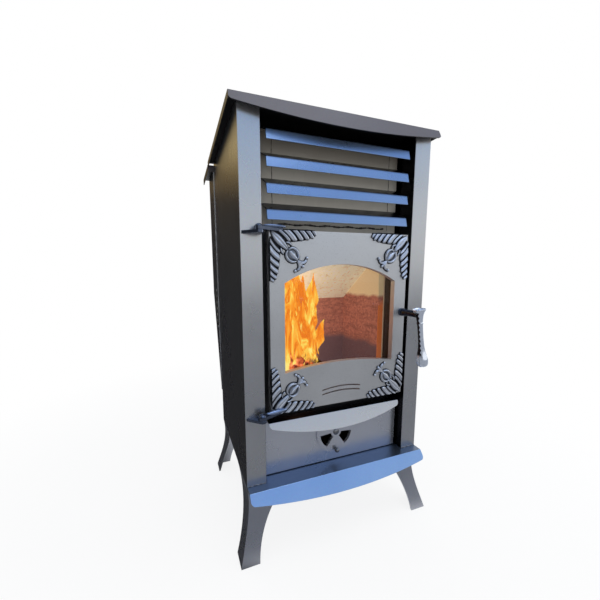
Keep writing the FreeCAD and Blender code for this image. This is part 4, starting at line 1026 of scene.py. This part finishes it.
def studio():
    """A pale floor, surroundings that are white to the eye and graded in reflections, and two softboxes."""
    shape = bmesh.new()
    bmesh.ops.create_circle(shape, cap_ends=True, segments=96, radius=FLOOR_RADIUS)
    mesh = bpy.data.meshes.new("floor")
    shape.to_mesh(mesh)
    shape.free()
    finish = Finish("floor")
    ray = finish.node("ShaderNodeLightPath")
    across, along = finish.along("X"), finish.along("Y")
    dim = finish.range(along, -0.19, -0.3)
    dark = finish.range(along, -0.28, -0.2) * finish.range(across, -0.15, -0.25)
    shown = finish.mix(dark, finish.mix(dim, WHITE, (0.25, 0.26, 0.29)), (0.02, 0.02, 0.023))
    shown = finish.mix(ray.out("Is Camera Ray"), shown, WHITE)
    pale = finish.mix(finish.grain(40.0), (0.88, 0.88, 0.88), (0.92, 0.92, 0.92))
    matt = finish.node("ShaderNodeBsdfDiffuse", None, {"Color": pale})
    white = finish.node("ShaderNodeEmission", None, {"Color": shown, "Strength": 1.0})
    seen = ray.out("Is Camera Ray") + ray.out("Is Transmission Ray")
    share = finish.range(across * across + along * along, 0.3, 2.2, 0.84, 1.0)
    lit = share * seen + ray.out("Is Glossy Ray")
    both = finish.node("ShaderNodeMixShader", None, {0: lit, 1: matt.out(), 2: white.out()})
    finish.node("ShaderNodeOutputMaterial", None, {"Surface": both.out()})
    mesh.materials.append(finish.owner)
    floor = bpy.data.objects.new("floor", mesh)
    bpy.context.scene.collection.objects.link(floor)
    world = bpy.data.worlds.new("studio")
    world.cycles.sampling_method = "NONE"
    bpy.context.scene.world = world
    sky = Finish("studio", world)
    way = sky.node("ShaderNodeTexCoord").out("Generated")
    parts = sky.node("ShaderNodeSeparateXYZ", None, {0: way})
    across, along, up = parts.out("X"), parts.out("Y"), parts.out("Z")
    front = sky.range(along, 0.3, -0.25)
    day = sky.ramp(sky.range(up, 0.0, 1.0), (0.06, WHITE), (0.3, (0.6, 0.77, 1.0)), (0.55, (0.4, 0.6, 1.0)))
    shown = sky.mix(front, WHITE, day)
    dusk = sky.ramp(sky.range(up, -0.1, 0.6), (0.0, (0.02, 0.02, 0.022)), (0.5, (0.035, 0.027, 0.022)),
                    (0.66, (0.3, 0.2, 0.08)), (0.8, (1.0, 0.76, 0.36)), (1.0, (0.85, 0.66, 0.36)))
    behind = sky.range(along, 0.1, 0.3) * sky.range(across, 0.2, 0.05) * sky.range(across, -0.95, -0.75)
    shown = sky.mix(behind, shown, dusk)
    beside = sky.range(across, -0.35, -0.6) * sky.range(along, 0.15, -0.1)
    shown = sky.mix(beside, shown, (0.02, 0.02, 0.025))
    ray = sky.node("ShaderNodeLightPath")
    colour = sky.mix(ray.out("Is Glossy Ray"), (0.84, 0.86, 0.89), shown)
    plain = sky.range(ray.out("Is Camera Ray") + ray.out("Is Transmission Ray"), 0.0, 1.0)
    colour = sky.mix(plain, colour, WHITE)
    backdrop = sky.node("ShaderNodeBackground", None, {"Color": colour, "Strength": 1.0})
    sky.node("ShaderNodeOutputWorld", None, {"Surface": backdrop.out()})
    hang_softbox("overhead_softbox", (0.5, -1.0, 2.9), (0.0, 0.0, 0.6), 1.8, 1.4, 14.0, (0.85, 0.91, 1.0))
    hang_softbox("side_softbox", (2.4, -0.45, 1.3), (0.0, 0.0, 0.5), 1.0, 1.6, 10.0, (1.0, 0.97, 0.93))


EYE = (-0.3347, POST_FRONT - 0.5153, 0.5971)
EYE_TURN, EYE_TILT, EYE_ROLL = -18.49, 82.42, -0.86
PICTURE, LENS_PIXELS, FILM = 600, 278.3, 36.0


def camera():
    """The photograph's view: a short lens, a little to the left and above the middle."""
    lens = bpy.data.cameras.new("camera")
    lens.sensor_width = FILM
    lens.lens = FILM * LENS_PIXELS / PICTURE
    lens.shift_x = 0.0484
    lens.shift_y = 0.0232
    lens.clip_start = 0.01
    eye = bpy.data.objects.new("camera", lens)
    turn = (Matrix.Rotation(math.radians(EYE_TURN), 4, "Z") @ Matrix.Rotation(math.radians(EYE_TILT), 4, "X")
            @ Matrix.Rotation(math.radians(EYE_ROLL), 4, "Z"))
    eye.matrix_world = Matrix.Translation(EYE) @ turn
    bpy.context.scene.collection.objects.link(eye)
    bpy.context.scene.camera = eye


studio()
camera()
bpy.context.scene.view_settings.view_transform = "Standard"
